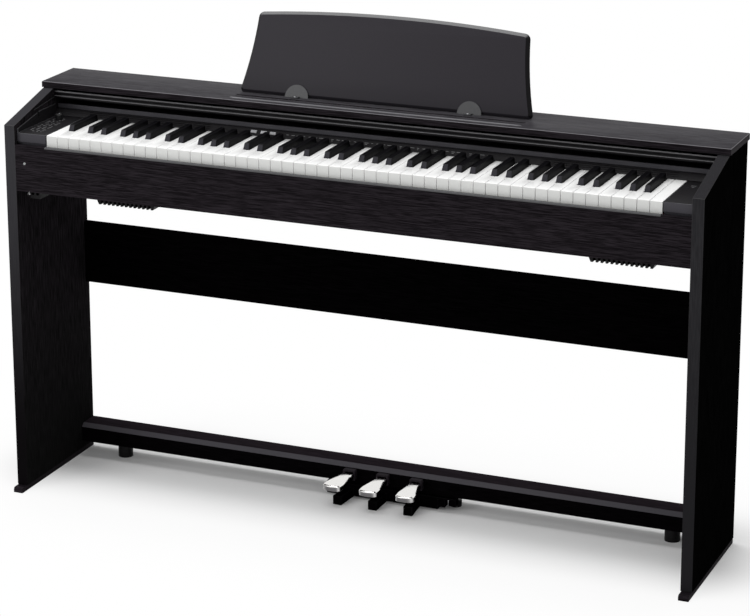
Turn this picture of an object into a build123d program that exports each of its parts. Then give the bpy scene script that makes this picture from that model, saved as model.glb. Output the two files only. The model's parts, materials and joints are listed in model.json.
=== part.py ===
"""Slim console digital piano with 88 keys, sliding key lid, music rest and three pedals.

Millimetres. X runs right, Y runs back and Z up. The origin is on the floor, under the middle of the object.
"""

from build123d import *
import os
from math import cos, radians, sin, tan

# ---- overall size: width and depth follow from the keyboard and the cabinet around it ----
overall_height = 798.0

# ---- clearances ----
slide_gap = 0.3
fit_gap = 0.06
button_gap = 0.3

# ---- keys ----
white_count = 52
white_pitch = 23.5
white_gap = 1.0
first_note = 21
last_note = 108
middle_octave = (60, 71)
key_drop = 68.0
key_setback = 10.0
key_visible_length = 149.0
key_hidden_length = 90.0
key_height = 18.0
key_lip_height = 23.0
key_lip_thickness = 4.0
head_depth = 48.0
key_pivot_drop = 14.0
key_tail_past_pivot = 8.0
pivot_rod_radius = 2.5
key_notch_gap = 0.5
black_setback = 49.5
black_rise = 11.5
black_base_width = 11.5
black_top_width = 9.7
black_front_slope = 4.0
black_panel_gap = 3.0
white_dip_deg = 2.4
black_dip_deg = 2.8
cushion_clearance = 0.4
cushion_thickness = 3.3
cushion_width = 8.0
white_cushion_setback = 21.0
black_cushion_setback = 11.5
frame_base_thickness = 4.0
frame_rib_thickness = 8.0
rod_rib_thickness = 4.0
frame_setback = 11.0

# ---- cheeks beside the keys ----
left_cheek_width = 62.5
right_cheek_width = 54.5
cheek_gap = 1.5
cheek_wall = 4.0
cheek_notch = (6.0, 4.0)
cheek_back_gap = 8.0
side_wall_thickness = 3.0
side_wall_rise = 24.0
side_wall_front_rise = 8.0
side_wall_bend = 89.0
bumper_setback = 80.0
bumper_width = 5.0
bumper_depth = 9.0
bumper_proud = 0.6

# ---- cabinet boards ----
top_board_thickness = 12.0
top_board_overhang = 2.5
top_board_over_keys = 5.0
panel_thickness = 22.0
panel_front_inset = 18.5
panel_back_inset = 3.5
panel_shoulder_drop = 53.0
panel_slope_past_top = 5.0
skid_height = 10.8
skid_width = 20.0
board_thickness = 15.0
front_board_drop = 22.0
front_board_height = 91.0
front_board_lip = 7.5
front_board_rebate = 25.0
cabinet_back_thickness = 14.0
depth_behind_pivot = 31.5
rear_panel_drop = 132.0
rear_panel_height = 126.0

# ---- control panel ----
fascia_depth = 12.0
fascia_rise = 11.5
panel_over_keys = 1.0
panel_skin = 3.0
panel_shelf_depth = 60.0
trim_height = 8.0
trim_line = 1.0
trim_thickness = 5.0
button_size = (12.0, 6.0)
button_proud = 1.2
button_length = 4.6
button_xs = (-243.0, -222.0, -203.0)
button_names = ("metronome_button", "transpose_button", "voice_button")
knob_inset = 24.0
knob_setback = 121.0
knob_radius = 7.0
knob_height = 11.0
knob_shaft_radius = 3.0
knob_shaft_length = 14.0
power_inset = 34.0
power_setback = 117.0
power_size = (10.0, 5.0)
power_proud = 1.2
power_length = 7.0

# ---- sliding lid ----
lid_slope_deg = 6.0
lid_setback = 11.0
lid_drop = 24.0
lid_back_gap = 2.0
front_leaf_thickness = 6.0
rear_leaf_thickness = 5.0
leaf_gap = 1.3
rear_leaf_setback = 4.0
lid_travel = 160.0
tongue_length = 20.0
tongue_reach = 4.0
tongue_share = 0.5
groove_extra = 0.5
handle_depth = 6.0
handle_above = 5.0
handle_below = 9.0
handle_radius = 2.0

# ---- music rest ----
rest_inset = 63.5
rest_lean_deg = 17.0
rest_bottom_half = 300.0
rest_taper = 24.0
rest_side_bow = 4.5
rest_side_height = 158.0
rest_crown = 13.0
rest_thickness = 9.0
rest_corner_radius = 12.0
rest_foot_radius = 9.0
rest_bevel = 6.5
disc_inset = 124.0
disc_radius = 24.0
disc_thickness = 2.5
disc_foot_depth = 13.0
peg_setback = 3.0
peg_radius = 3.0
peg_length = 8.0
ledge_setback = 12.0
ledge_depth = 5.0
ledge_height = 1.6
ledge_inset = 4.0
ledge_point = 8.0
book_recess_front = 17.5
book_recess_back = 18.0
book_recess_depth = 2.0
book_recess_slope = 5.0

# ---- speakers and under-bed fittings ----
speaker_inset = 166.0
grille_width = 162.0
grille_setback = 131.0
grille_depth = 104.0
grille_height = 50.0
grille_wall = 2.5
grille_end_slope = 22.0
rib_count = 12
rib_slot_width = 5.0
cone_radius = 44.0
cone_depth = 24.0
magnet_radius = 26.0
magnet_depth = 16.0
speaker_rim = 3.0
bracket_setback = 81.0
bracket_length = 110.0
bracket_width = 31.0
bracket_height = 32.0
bracket_thickness = 4.0
jack_box_inset = 15.0
jack_box_width = 22.0
jack_box_setback = 26.0
jack_box_depth = 45.0
jack_box_height = 20.0
jack_spacing = 10.4
jack_radius = 3.25
jack_depth = 15.0
lamp_inset = 20.0
lamp_drop = 35.5
lamp_radius = 2.5
lamp_proud = 0.6

# ---- electronics ----
circuit_x = (100.0, 400.0)
circuit_setback = 81.0
circuit_pivot_gap = 22.0
circuit_thickness = 1.6
circuit_boss_inset = 10.0
circuit_boss_height = 9.0
circuit_boss_radius = 4.0
main_chip_half = 14.0
side_chip_half = (10.0, 6.0)
side_chip_offset = 70.0
chip_height = 2.0
capacitor_count = 4
capacitor_spacing = 16.0
capacitor_radius = 5.0
capacitor_height = 12.0
capacitor_inset = 20.0
jack_plate_inset = 51.0
jack_plate_width = 120.0
jack_plate_rise = 18.0
jack_plate_height = 40.0
jack_plate_thickness = 3.0
jack_plate_border = 5.0
socket_offsets = (15.0, 40.0, 75.0, 105.0)
socket_radii = (2.75, 3.25, 3.25, 3.25)
socket_wall = 3.0
socket_depth = 14.0

# ---- pedals ----
rail_depth = 50.0
rail_bottom_z = 26.4
rail_height = 37.6
rail_chamfer = (9.0, 7.5)
rail_foot_inset = 89.0
rail_foot_setback = 21.0
rail_foot_radius = 15.0
pedal_xs = (-70.5, 0.0, 70.5)
pedal_names = ("left_pedal", "middle_pedal", "right_pedal")
pedal_rise = 23.6
pedal_thickness = 7.0
pedal_reach = 91.0
pedal_half_width = 19.0
pedal_neck_half = 12.0
pedal_neck_from_tip = 62.0
pedal_belly_from_tip = 24.0
pedal_front_bow = 6.0
pedal_front_radius = 9.0
pedal_side_radius = 30.0
pedal_cap_thickness = 11.0
pedal_collar_gap = 3.5
pedal_splay_deg = 5.0
pedal_arm_half = 7.0
pedal_arm_back = 11.0
pedal_pivot_setback = 29.0
pedal_pivot_sink = 2.0
pedal_rod_radius = 3.0
pedal_press_deg = 8.0
pedal_edge_round = 2.4
pocket_half = 112.0
pocket_roof = 6.0
pocket_wall = 8.0
slot_half = 8.5
slot_gap = 1.0
collar_depth = 11.0
collar_border = 4.5
collar_sill = 2.0
collar_round = 3.5
housing_half = 118.0
housing_lift = 2.0
housing_plate = 3.0
housing_block_depth = 18.0
housing_blocks = ((3.0, 14.0, 7.0), (22.0, 36.0, 12.0))
stay_half = 9.0
stay_reach = 61.0
stay_height = 18.0
adjuster_gap = 23.0
adjuster_setback = 26.0
adjuster_radius = 12.0
adjuster_head = 14.0
adjuster_stem_radius = 4.0
adjuster_stem = 24.0
adjuster_travel = 8.0

# ---- screws ----
screw_head_radius = 4.0
screw_head_height = 2.5
screw_inset = 15.0
side_screw_setback = 46.0
side_screw_drop = 16.0
rail_screw_inset = 278.0

# ---- derived places across the width ----
keyboard_width = white_count * white_pitch
inner_x = (keyboard_width + left_cheek_width + right_cheek_width + 2 * cheek_gap) / 2
panel_outer_x = inner_x + panel_thickness
top_half_width = panel_outer_x + top_board_overhang
keyboard_left_x = -inner_x + left_cheek_width + cheek_gap
keyboard_right_x = keyboard_left_x + keyboard_width
keyboard_span = (keyboard_left_x, keyboard_right_x)
board_span = (-inner_x, inner_x)
knob_x = -inner_x + knob_inset
power_x = inner_x - power_inset
speaker_x = inner_x - speaker_inset
lamp_x = -inner_x + lamp_inset
jack_box_x = (-inner_x + jack_box_inset, -inner_x + jack_box_inset + jack_box_width)
jack_plate_x = (-inner_x + jack_plate_inset, -inner_x + jack_plate_inset + jack_plate_width)
rail_foot_x = inner_x - rail_foot_inset
disc_x = rest_bottom_half - disc_inset
adjuster_x = housing_half + adjuster_gap

# ---- derived places along the depth ----
key_length = key_visible_length + key_hidden_length
overall_depth = panel_front_inset + key_setback + key_length + depth_behind_pivot
front_y = -overall_depth / 2
back_y = overall_depth / 2
panel_front_y = front_y + panel_front_inset
panel_back_y = back_y - panel_back_inset
bed_front_y = panel_front_y + board_thickness
cabinet_back_y = (panel_back_y - cabinet_back_thickness, panel_back_y)
key_front_y = panel_front_y + key_setback
key_pivot_y = key_front_y + key_length
key_back_y = key_pivot_y + key_tail_past_pivot
head_back_y = key_front_y + head_depth
black_front_y = key_front_y + black_setback
panel_foot_y = key_front_y + key_visible_length
panel_crest_y = panel_foot_y + fascia_depth
black_back_y = panel_foot_y - black_panel_gap
top_front_y = panel_foot_y - top_board_over_keys
lid_front_y = top_front_y + lid_setback
lid_leaf_depth = cabinet_back_y[0] - lid_back_gap - rear_leaf_setback - lid_front_y
knob_y = key_front_y + knob_setback
power_y = key_front_y + power_setback
white_cushion_y = key_front_y + white_cushion_setback
black_cushion_y = black_front_y + black_cushion_setback
circuit_y = (key_front_y + circuit_setback, key_pivot_y - circuit_pivot_gap)
rest_foot_y = back_y - rest_inset
peg_y = rest_foot_y - disc_foot_depth / 2 - peg_setback
grille_y = (panel_front_y + grille_setback, panel_front_y + grille_setback + grille_depth)
bracket_y = (panel_front_y + bracket_setback, panel_front_y + bracket_setback + bracket_length)
jack_box_y = (panel_front_y + jack_box_setback, panel_front_y + jack_box_setback + jack_box_depth)
rail_y = (panel_back_y - rail_depth, panel_back_y)
rail_foot_y = rail_y[0] + rail_foot_setback
pedal_tip_y = rail_y[0] - pedal_reach
pedal_pivot_y = rail_y[0] + pedal_pivot_setback
adjuster_y = rail_y[0] + adjuster_setback
cap_back_y = rail_y[0] - collar_depth - pedal_collar_gap

# ---- derived heights ----
board_under_z = overall_height - top_board_thickness
panel_shoulder_z = overall_height - panel_shoulder_drop
key_top_z = overall_height - key_drop
key_bottom_z = key_top_z - key_height
key_pivot_z = key_top_z - key_pivot_drop
black_top_z = key_top_z + black_rise
front_board_top_z = key_top_z - front_board_drop
bed_bottom_z = front_board_top_z - front_board_height
bed_top_z = bed_bottom_z + board_thickness
frame_base_top = bed_top_z + frame_base_thickness
panel_under_z = key_top_z + panel_over_keys
panel_crest_z = panel_under_z + fascia_rise
lid_top_z = overall_height - lid_drop
grille_bottom_z = bed_bottom_z - grille_height
headphone_z = bed_bottom_z - jack_box_height / 2
lamp_z = front_board_top_z - lamp_drop
jack_plate_z = (bed_top_z + jack_plate_rise, bed_top_z + jack_plate_rise + jack_plate_height)
rear_panel_top_z = bed_bottom_z - rear_panel_drop
rail_top_z = rail_bottom_z + rail_height
pedal_top_z = rail_bottom_z + pedal_rise
pedal_pivot_z = pedal_top_z - pedal_pivot_sink


# ---- small shape helpers ----
def block(x_span, y_span, z_span):
    """A box between two values on each axis."""
    middle = [(span[0] + span[1]) / 2 for span in (x_span, y_span, z_span)]
    size = [span[1] - span[0] for span in (x_span, y_span, z_span)]
    return Pos(*middle) * Box(*size)


def prism_x(points, x_span):
    """A (y, z) outline carried along X."""
    face = Plane.YZ.offset(x_span[0]) * make_face(Polyline(*points, close=True))
    return extrude(face, amount=x_span[1] - x_span[0])


def prism_y(points, y_span):
    """An (x, z) outline carried along Y."""
    face = Plane.XZ.offset(-y_span[1]) * make_face(Polyline(*points, close=True))
    return extrude(face, amount=y_span[1] - y_span[0])


def rod(start, direction, radius, length):
    """A round bar from a point along a direction."""
    return extrude(Plane(start, z_dir=direction) * Circle(radius), amount=length)


def group(pieces):
    """Separate solids that share one node."""
    return Compound([solid for piece in pieces for solid in piece.solids()])


def around(centre, half):
    """The span of a given half width about a centre."""
    return (centre - half, centre + half)


# ---- the lid's sloping plane ----
def on_slope(back, up):
    """The (y, z) point that lies so far back along the lid's slope, and so far up from its top face."""
    slope = radians(lid_slope_deg)
    y = lid_front_y + back * cos(slope) - up * sin(slope)
    z = lid_top_z + back * sin(slope) + up * cos(slope)
    return (y, z)


def slope_slab(back_span, up_span, x_span):
    """A flat slab parallel to the lid's slope."""
    corners = [
        on_slope(back_span[0], up_span[0]),
        on_slope(back_span[1], up_span[0]),
        on_slope(back_span[1], up_span[1]),
        on_slope(back_span[0], up_span[1]),
    ]
    return prism_x(corners, x_span)


front_leaf_back = (0.0, lid_leaf_depth)
front_leaf_up = (-front_leaf_thickness, 0.0)
front_tongue_up = (-front_leaf_thickness, -front_leaf_thickness * tongue_share)
rear_leaf_back = (rear_leaf_setback, rear_leaf_setback + lid_leaf_depth)
rear_leaf_top = -front_leaf_thickness - leaf_gap
rear_leaf_up = (rear_leaf_top - rear_leaf_thickness, rear_leaf_top)
rear_tongue_up = (rear_leaf_up[0], rear_leaf_up[0] + rear_leaf_thickness * tongue_share)


def lid_leaf(back_span, up_span, tongue_up):
    """A thin board with a tongue at each rear corner, which runs in the side panels' grooves."""
    half = inner_x - slide_gap
    tongue_back = (back_span[1] - tongue_length, back_span[1])
    leaf = slope_slab(back_span, up_span, (-half, half))
    tongues = slope_slab(tongue_back, tongue_up, (-half - tongue_reach, half + tongue_reach))
    return leaf + tongues


def lid_groove(back_span, tongue_up, travel, x_span):
    """The space that a tongue sweeps through, with its clearance."""
    back = (back_span[1] - tongue_length - travel - slide_gap, back_span[1] + slide_gap)
    up = (tongue_up[0] - slide_gap, tongue_up[1] + slide_gap)
    return slope_slab(back, up, x_span)


def lid_handle():
    """The moulding along the front leaf's edge, which the player pulls."""
    half = inner_x - slide_gap
    z_span = (lid_top_z - handle_below, lid_top_z + handle_above)
    bar = block((-half, half), (lid_front_y - handle_depth, lid_front_y), z_span)
    edges = bar.edges().filter_by(Axis.X).group_by(Axis.Y)[0]
    bar = fillet(edges, handle_radius)
    return bar - slope_slab(front_leaf_back, (-handle_depth, handle_depth), (-half, half))


# ---- cabinet ----
def side_panel(side):
    """A board with a sloping top front edge, grooved on its inner face for the lid."""
    outline = [
        (panel_front_y, skid_height),
        (panel_back_y, skid_height),
        (panel_back_y, board_under_z),
        (top_front_y + panel_slope_past_top, board_under_z),
        (panel_front_y, panel_shoulder_z),
    ]
    faces = sorted((side * inner_x, side * panel_outer_x))
    groove_x = sorted((side * (inner_x - 1), side * (inner_x + tongue_reach + groove_extra)))
    panel = prism_x(outline, faces)
    panel -= lid_groove(front_leaf_back, front_tongue_up, lid_travel, groove_x)
    panel -= lid_groove(rear_leaf_back, rear_tongue_up, lid_travel / 2, groove_x)
    return panel


def foot_skid(side):
    """The runner under a side panel, with a nose that reaches forward."""
    x_span = around(side * (panel_outer_x - panel_thickness / 2), skid_width / 2)
    skid = block(x_span, (front_y, panel_back_y), (0, skid_height))
    nose = skid.edges().filter_by(Axis.X).group_by(Axis.Y)[0].sort_by(Axis.Z)[-1]
    return fillet([nose], skid_height / 2)


def top_board():
    """The flat top, with two blind holes for the music rest's pegs."""
    x_span = (-top_half_width, top_half_width)
    board = block(x_span, (top_front_y, back_y), (board_under_z, overall_height))
    board = chamfer(board.edges().group_by(Axis.Z)[-1], 1)
    half = rest_bottom_half - ledge_inset
    floor_half = half - book_recess_slope
    floor_z = overall_height - book_recess_depth
    cut = [(-half, overall_height), (-floor_half, floor_z), (floor_half, floor_z), (half, overall_height)]
    recess_y = (top_front_y + book_recess_front, rest_foot_y - book_recess_back)
    board -= prism_y(cut, recess_y)
    for side in (-1, 1):
        start = (side * disc_x, peg_y, overall_height - peg_length - 1)
        board -= rod(start, (0, 0, 1), peg_radius + fit_gap, peg_length + 2)
    return board


def cabinet_back():
    """The board that closes the key space at the back, cut out behind the sockets."""
    board = block(board_span, cabinet_back_y, (bed_bottom_z, board_under_z))
    hole_x = (jack_plate_x[0] + jack_plate_border, jack_plate_x[1] - jack_plate_border)
    hole_z = (jack_plate_z[0] + jack_plate_border, jack_plate_z[1] - jack_plate_border)
    return board - block(hole_x, around(panel_back_y, 2 * cabinet_back_thickness), hole_z)


def key_bed():
    """The shelf that carries the keyboard."""
    return block(board_span, (bed_front_y, cabinet_back_y[0]), (bed_bottom_z, bed_top_z))


def front_board():
    """The board below the keys, thinned behind its top edge so that the keys can dip."""
    back = bed_front_y
    rebate_y = panel_front_y + front_board_lip
    rebate_z = front_board_top_z - front_board_rebate
    outline = [
        (panel_front_y, bed_bottom_z),
        (back, bed_bottom_z),
        (back, rebate_z),
        (rebate_y, rebate_z),
        (rebate_y, front_board_top_z),
        (panel_front_y, front_board_top_z),
    ]
    board = prism_x(outline, board_span)
    hole = rod((lamp_x, panel_front_y - 1, lamp_z), (0, 1, 0), lamp_radius + fit_gap, board_thickness + 2)
    return board - hole


def end_block(x_span, side):
    """A hollow cheek beside the keys, open below, with a thin wall that rises along the side panel."""
    step_y, step_z = cheek_notch
    low_z = front_board_top_z
    back = key_pivot_y - cheek_back_gap
    outline = [
        (bed_front_y, bed_top_z),
        (back, bed_top_z),
        (back, key_top_z),
        (key_front_y, key_top_z),
        (key_front_y, low_z + step_z),
        (key_front_y + step_y / 2, low_z + step_z),
        (key_front_y + step_y / 2, low_z),
        (bed_front_y, low_z),
    ]
    shell = prism_x(outline, x_span)
    inside_x = (x_span[0] + cheek_wall, x_span[1] - cheek_wall)
    inside_y = (bed_front_y + cheek_wall, back - cheek_wall)
    shell -= block(inside_x, inside_y, (bed_top_z - 1, key_top_z - cheek_wall))
    wall = [
        (key_front_y, key_top_z - 1),
        (panel_foot_y, key_top_z - 1),
        (panel_foot_y, key_top_z + side_wall_rise),
        (key_front_y + side_wall_bend, key_top_z + side_wall_rise),
        (key_front_y, key_top_z + side_wall_front_rise),
    ]
    shell += prism_x(wall, side_wall_span(side))
    notch_z = (bumper_top_z - bumper_depth, key_top_z + side_wall_rise)
    return shell - block(side_wall_span(side), bumper_y, notch_z)


def side_wall_span(side):
    """The thickness of the wall that lines a side panel above a cheek."""
    return sorted((side * (inner_x - side_wall_thickness), side * inner_x))


bumper_y = around(key_front_y + bumper_setback, bumper_width / 2)
wall_slope = (side_wall_rise - side_wall_front_rise) / side_wall_bend
bumper_top_z = key_top_z + side_wall_front_rise + wall_slope * bumper_setback + bumper_proud


def lid_bumpers():
    """The rubber blocks in the side walls' notches, just under the shut lid."""
    z_span = (bumper_top_z - bumper_depth, bumper_top_z)
    return group([block(side_wall_span(side), bumper_y, z_span) for side in (-1, 1)])


def left_end_block():
    """The left cheek, with the volume knob's shaft hole."""
    cheek = end_block((-inner_x, keyboard_left_x - cheek_gap), -1)
    start = (knob_x, knob_y, key_top_z - cheek_wall - 1)
    return cheek - rod(start, (0, 0, 1), knob_shaft_radius + fit_gap, cheek_wall + 2)


def right_end_block():
    """The right cheek, with the power button's opening."""
    cheek = end_block((keyboard_right_x + cheek_gap, inner_x), 1)
    hole_x = around(power_x, power_size[0] / 2 + button_gap)
    hole_y = around(power_y, power_size[1] / 2 + button_gap)
    return cheek - block(hole_x, hole_y, (key_top_z - cheek_wall - 1, key_top_z + 1))


def rear_panel():
    """The board between the sides behind the player's knees."""
    z_span = (rear_panel_top_z - rear_panel_height, rear_panel_top_z)
    return block(board_span, (panel_back_y - board_thickness, panel_back_y), z_span)


# ---- control panel ----
fascia_slope = Vector(0, fascia_depth, fascia_rise).normalized()
fascia_normal = Vector(0, -fascia_rise, fascia_depth).normalized()
fascia_centre = Vector(0, panel_foot_y + fascia_depth / 2, panel_under_z + fascia_rise / 2)


def fascia_block(x, size, normal_span):
    """A box that stands square to the sloping fascia."""
    middle = fascia_centre + Vector(x, 0, 0) + fascia_normal * ((normal_span[0] + normal_span[1]) / 2)
    place = Plane(middle, x_dir=(1, 0, 0), z_dir=fascia_normal)
    return place * Box(size[0], size[1], normal_span[1] - normal_span[0])


def control_panel():
    """A sloping fascia with a shelf behind it, over the keys' tails."""
    shelf_back_y = panel_crest_y + panel_shelf_depth
    outline = [
        (panel_foot_y, panel_under_z),
        (panel_crest_y, panel_crest_z),
        (shelf_back_y, panel_crest_z),
        (shelf_back_y, panel_crest_z - panel_skin),
        (panel_crest_y + panel_skin * 0.4, panel_crest_z - panel_skin),
        (panel_foot_y + panel_skin * 1.4, panel_under_z),
    ]
    panel = prism_x(outline, board_span)
    hole = (button_size[0] + 2 * button_gap, button_size[1] + 2 * button_gap)
    for x in button_xs:
        panel -= fascia_block(x, hole, (-3 * panel_skin, panel_skin))
    return panel


def panel_trim():
    """The slim strip that stands above the control panel's crest."""
    z_span = (panel_crest_z, panel_crest_z + trim_line + trim_height)
    y_span = (panel_crest_y + 1, panel_crest_y + 1 + trim_thickness)
    strip = block(board_span, y_span, z_span)
    line = block(board_span, (y_span[0] - 1, y_span[0] + 1), (z_span[0], z_span[0] + trim_line))
    return strip - line


def panel_button(x):
    """A small push button in the fascia."""
    return fascia_block(x, button_size, (button_proud - button_length, button_proud))


# ---- keyboard ----
WHITE_RANKS = {0: 0, 2: 1, 4: 2, 5: 3, 7: 4, 9: 5, 11: 6}
NOTE_NAMES = ("c", "c_sharp", "d", "d_sharp", "e", "f", "f_sharp", "g", "g_sharp", "a", "a_sharp", "b")


def is_white(note):
    """Whether a note number is a white key."""
    return note % 12 in WHITE_RANKS


def white_left(note):
    """The left edge of a white key's pitch."""
    rank = 7 * (note // 12) + WHITE_RANKS[note % 12]
    first_rank = 7 * (first_note // 12) + WHITE_RANKS[first_note % 12]
    return keyboard_left_x + white_pitch * (rank - first_rank)


def tail_slot(note):
    """The share of the keyboard's back that belongs to a note, black or white."""
    octave_c = note - note % 12
    if note % 12 < 5:
        start = white_left(octave_c + 12) - 7 * white_pitch
        slot = 3 * white_pitch / 5
        place = note % 12
    else:
        start = white_left(octave_c + 12) - 4 * white_pitch
        slot = 4 * white_pitch / 7
        place = note % 12 - 5
    return (start + place * slot, start + (place + 1) * slot)


def tail_outline(y_start, top_z):
    """The (y, z) outline of a key's tail, with the notch that sits over the pivot rod."""
    notch_half = pivot_rod_radius + key_notch_gap
    return [
        (y_start, key_bottom_z),
        (key_pivot_y - notch_half, key_bottom_z),
        (key_pivot_y - notch_half, key_pivot_z + notch_half),
        (key_pivot_y + notch_half, key_pivot_z + notch_half),
        (key_pivot_y + notch_half, key_bottom_z),
        (key_back_y, key_bottom_z),
        (key_back_y, top_z),
    ]


def white_key(note):
    """A white key: a wide head with a front lip, and a tail between its black neighbours."""
    half_gap = white_gap / 2
    head_x = (white_left(note) + half_gap, white_left(note) + white_pitch - half_gap)
    slot = tail_slot(note)
    tail_x = [slot[0] + half_gap, slot[1] - half_gap]
    if note == first_note:
        tail_x[0] = head_x[0]
    if note == last_note:
        tail_x = list(head_x)
    head_outline = [
        (key_front_y, key_top_z - 1),
        (key_front_y, key_top_z - key_lip_height),
        (key_front_y + key_lip_thickness, key_top_z - key_lip_height),
        (key_front_y + key_lip_thickness, key_bottom_z),
        (head_back_y, key_bottom_z),
        (head_back_y, key_top_z),
        (key_front_y + 1, key_top_z),
    ]
    tail = tail_outline(head_back_y, key_top_z) + [(head_back_y, key_top_z)]
    return prism_x(head_outline, head_x) + prism_x(tail, tail_x)


def black_key(note):
    """A black key: a tapered ridge on a narrow tail."""
    slot = tail_slot(note)
    middle = (slot[0] + slot[1]) / 2
    low_half = black_base_width / 2
    top_half = black_top_width / 2
    side = tail_outline(black_front_y, key_top_z - 0.5) + [
        (black_back_y, key_top_z - 0.5),
        (black_back_y, black_top_z),
        (black_front_y + black_front_slope + 1.5, black_top_z),
        (black_front_y + black_front_slope, black_top_z - 1),
        (black_front_y, key_top_z + 1),
    ]
    section = [
        (middle - low_half, key_bottom_z),
        (middle + low_half, key_bottom_z),
        (middle + low_half, key_top_z + 1),
        (middle + top_half, black_top_z),
        (middle - top_half, black_top_z),
        (middle - low_half, key_top_z + 1),
    ]
    return prism_x(side, around(middle, low_half)) & prism_y(section, (black_front_y, key_back_y))


def one_key(note):
    """The key of a note, black or white."""
    return white_key(note) if is_white(note) else black_key(note)


def key_nodes():
    """The middle octave's keys one by one, and the keys below and above it in four banks."""
    nodes = {}
    low = range(first_note, middle_octave[0])
    high = range(middle_octave[1] + 1, last_note + 1)
    nodes["low_white_keys"] = group([white_key(n) for n in low if is_white(n)])
    nodes["low_black_keys"] = group([black_key(n) for n in low if not is_white(n)])
    nodes["high_white_keys"] = group([white_key(n) for n in high if is_white(n)])
    nodes["high_black_keys"] = group([black_key(n) for n in high if not is_white(n)])
    for note in range(middle_octave[0], middle_octave[1] + 1):
        nodes["middle_" + NOTE_NAMES[note % 12] + "_key"] = one_key(note)
    return nodes


def cushion_top(cushion_y, dip_deg):
    """The height of a felt strip's top, just under a fully pressed key."""
    reach = key_pivot_y - cushion_y + cushion_width / 2
    return key_bottom_z - reach * sin(radians(dip_deg)) - cushion_clearance


white_cushion_top = cushion_top(white_cushion_y, white_dip_deg)
black_cushion_top = cushion_top(black_cushion_y, black_dip_deg)
circuit_bosses = [
    (x, y)
    for x in (circuit_x[0] + circuit_boss_inset, circuit_x[1] - circuit_boss_inset)
    for y in (circuit_y[0] + circuit_boss_inset, circuit_y[1] - circuit_boss_inset)
]


def key_frame():
    """The frame under the keys: a base, cushion ribs, the pivot rib and the board's bosses."""
    base = block(keyboard_span, (key_front_y + frame_setback, key_back_y), (bed_top_z, frame_base_top))
    for y, top in ((white_cushion_y, white_cushion_top), (black_cushion_y, black_cushion_top)):
        rib_z = (frame_base_top, top - cushion_thickness)
        base += block(keyboard_span, around(y, frame_rib_thickness / 2), rib_z)
    rib_z = (frame_base_top, key_pivot_z - pivot_rod_radius)
    base += block(keyboard_span, around(key_pivot_y, rod_rib_thickness / 2), rib_z)
    for x, y in circuit_bosses:
        base += rod((x, y, frame_base_top), (0, 0, 1), circuit_boss_radius, circuit_boss_height)
    return base


def key_cushions():
    """The felt strips that stop the white and the black keys."""
    strips = []
    for y, top in ((white_cushion_y, white_cushion_top), (black_cushion_y, black_cushion_top)):
        strips.append(block(keyboard_span, around(y, cushion_width / 2), (top - cushion_thickness, top)))
    return group(strips)


def key_pivot_rod():
    """The long rod on which every key turns."""
    start = (keyboard_left_x, key_pivot_y, key_pivot_z)
    return rod(start, (1, 0, 0), pivot_rod_radius, keyboard_width)


# ---- electronics and sockets ----
def main_circuit_board():
    """The circuit board on its bosses, with its larger chips."""
    low_z = frame_base_top + circuit_boss_height
    top_z = low_z + circuit_thickness
    board = block(circuit_x, circuit_y, (low_z, top_z))
    middle_x = (circuit_x[0] + circuit_x[1]) / 2
    middle_y = (circuit_y[0] + circuit_y[1]) / 2
    chip_z = (top_z, top_z + chip_height)
    board += block(around(middle_x, main_chip_half), around(middle_y, main_chip_half), chip_z)
    half_x, half_y = side_chip_half
    for side in (-1, 1):
        chip_x = middle_x + side * side_chip_offset
        board += block(around(chip_x, half_x), around(middle_y, half_y), chip_z)
    for step in range(capacitor_count):
        capacitor_x = middle_x + side_chip_offset + capacitor_spacing * step
        place = (capacitor_x, circuit_y[0] + capacitor_inset, top_z)
        board += rod(place, (0, 0, 1), capacitor_radius, capacitor_height)
    return board


def rear_jack_plate():
    """The socket plate on the cabinet's back, with a barrel behind each socket."""
    plate_y = (panel_back_y, panel_back_y + jack_plate_thickness)
    plate = block(jack_plate_x, plate_y, jack_plate_z)
    middle_z = (jack_plate_z[0] + jack_plate_z[1]) / 2
    for offset, radius in zip(socket_offsets, socket_radii):
        x = jack_plate_x[0] + offset
        inner_y = plate_y[1] - socket_depth
        plate += rod((x, inner_y - socket_wall, middle_z), (0, 1, 0), radius + socket_wall, socket_depth)
        plate -= rod((x, inner_y, middle_z), (0, 1, 0), radius, socket_depth + 1)
    return plate


def headphone_box():
    """The headphone box under the key bed, with two sockets that face the player."""
    z_span = (bed_bottom_z - jack_box_height, bed_bottom_z)
    box = block(jack_box_x, jack_box_y, z_span)
    middle_x = (jack_box_x[0] + jack_box_x[1]) / 2
    for x in around(middle_x, jack_spacing / 2):
        hole = rod((x, jack_box_y[0] - 1, headphone_z), (0, 1, 0), jack_radius, jack_depth + 1)
        box -= hole
    return box


def pilot_lamp():
    """The small power lamp in the front board."""
    start = (lamp_x, panel_front_y - lamp_proud, lamp_z)
    return rod(start, (0, 1, 0), lamp_radius, board_thickness - 2)


def speaker(x):
    """A loudspeaker that faces down: a rim, a cone and a magnet against the key bed."""
    y = (grille_y[0] + grille_y[1]) / 2
    magnet_z = bed_bottom_z - magnet_depth
    cone_low = magnet_z - cone_depth
    magnet = rod((x, y, magnet_z), (0, 0, 1), magnet_radius, magnet_depth)
    basket = Pos(x, y, magnet_z - cone_depth / 2) * Cone(cone_radius - 4, magnet_radius - 4, cone_depth)
    rim = rod((x, y, cone_low - speaker_rim), (0, 0, 1), cone_radius, speaker_rim)
    return magnet + basket + rim


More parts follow.
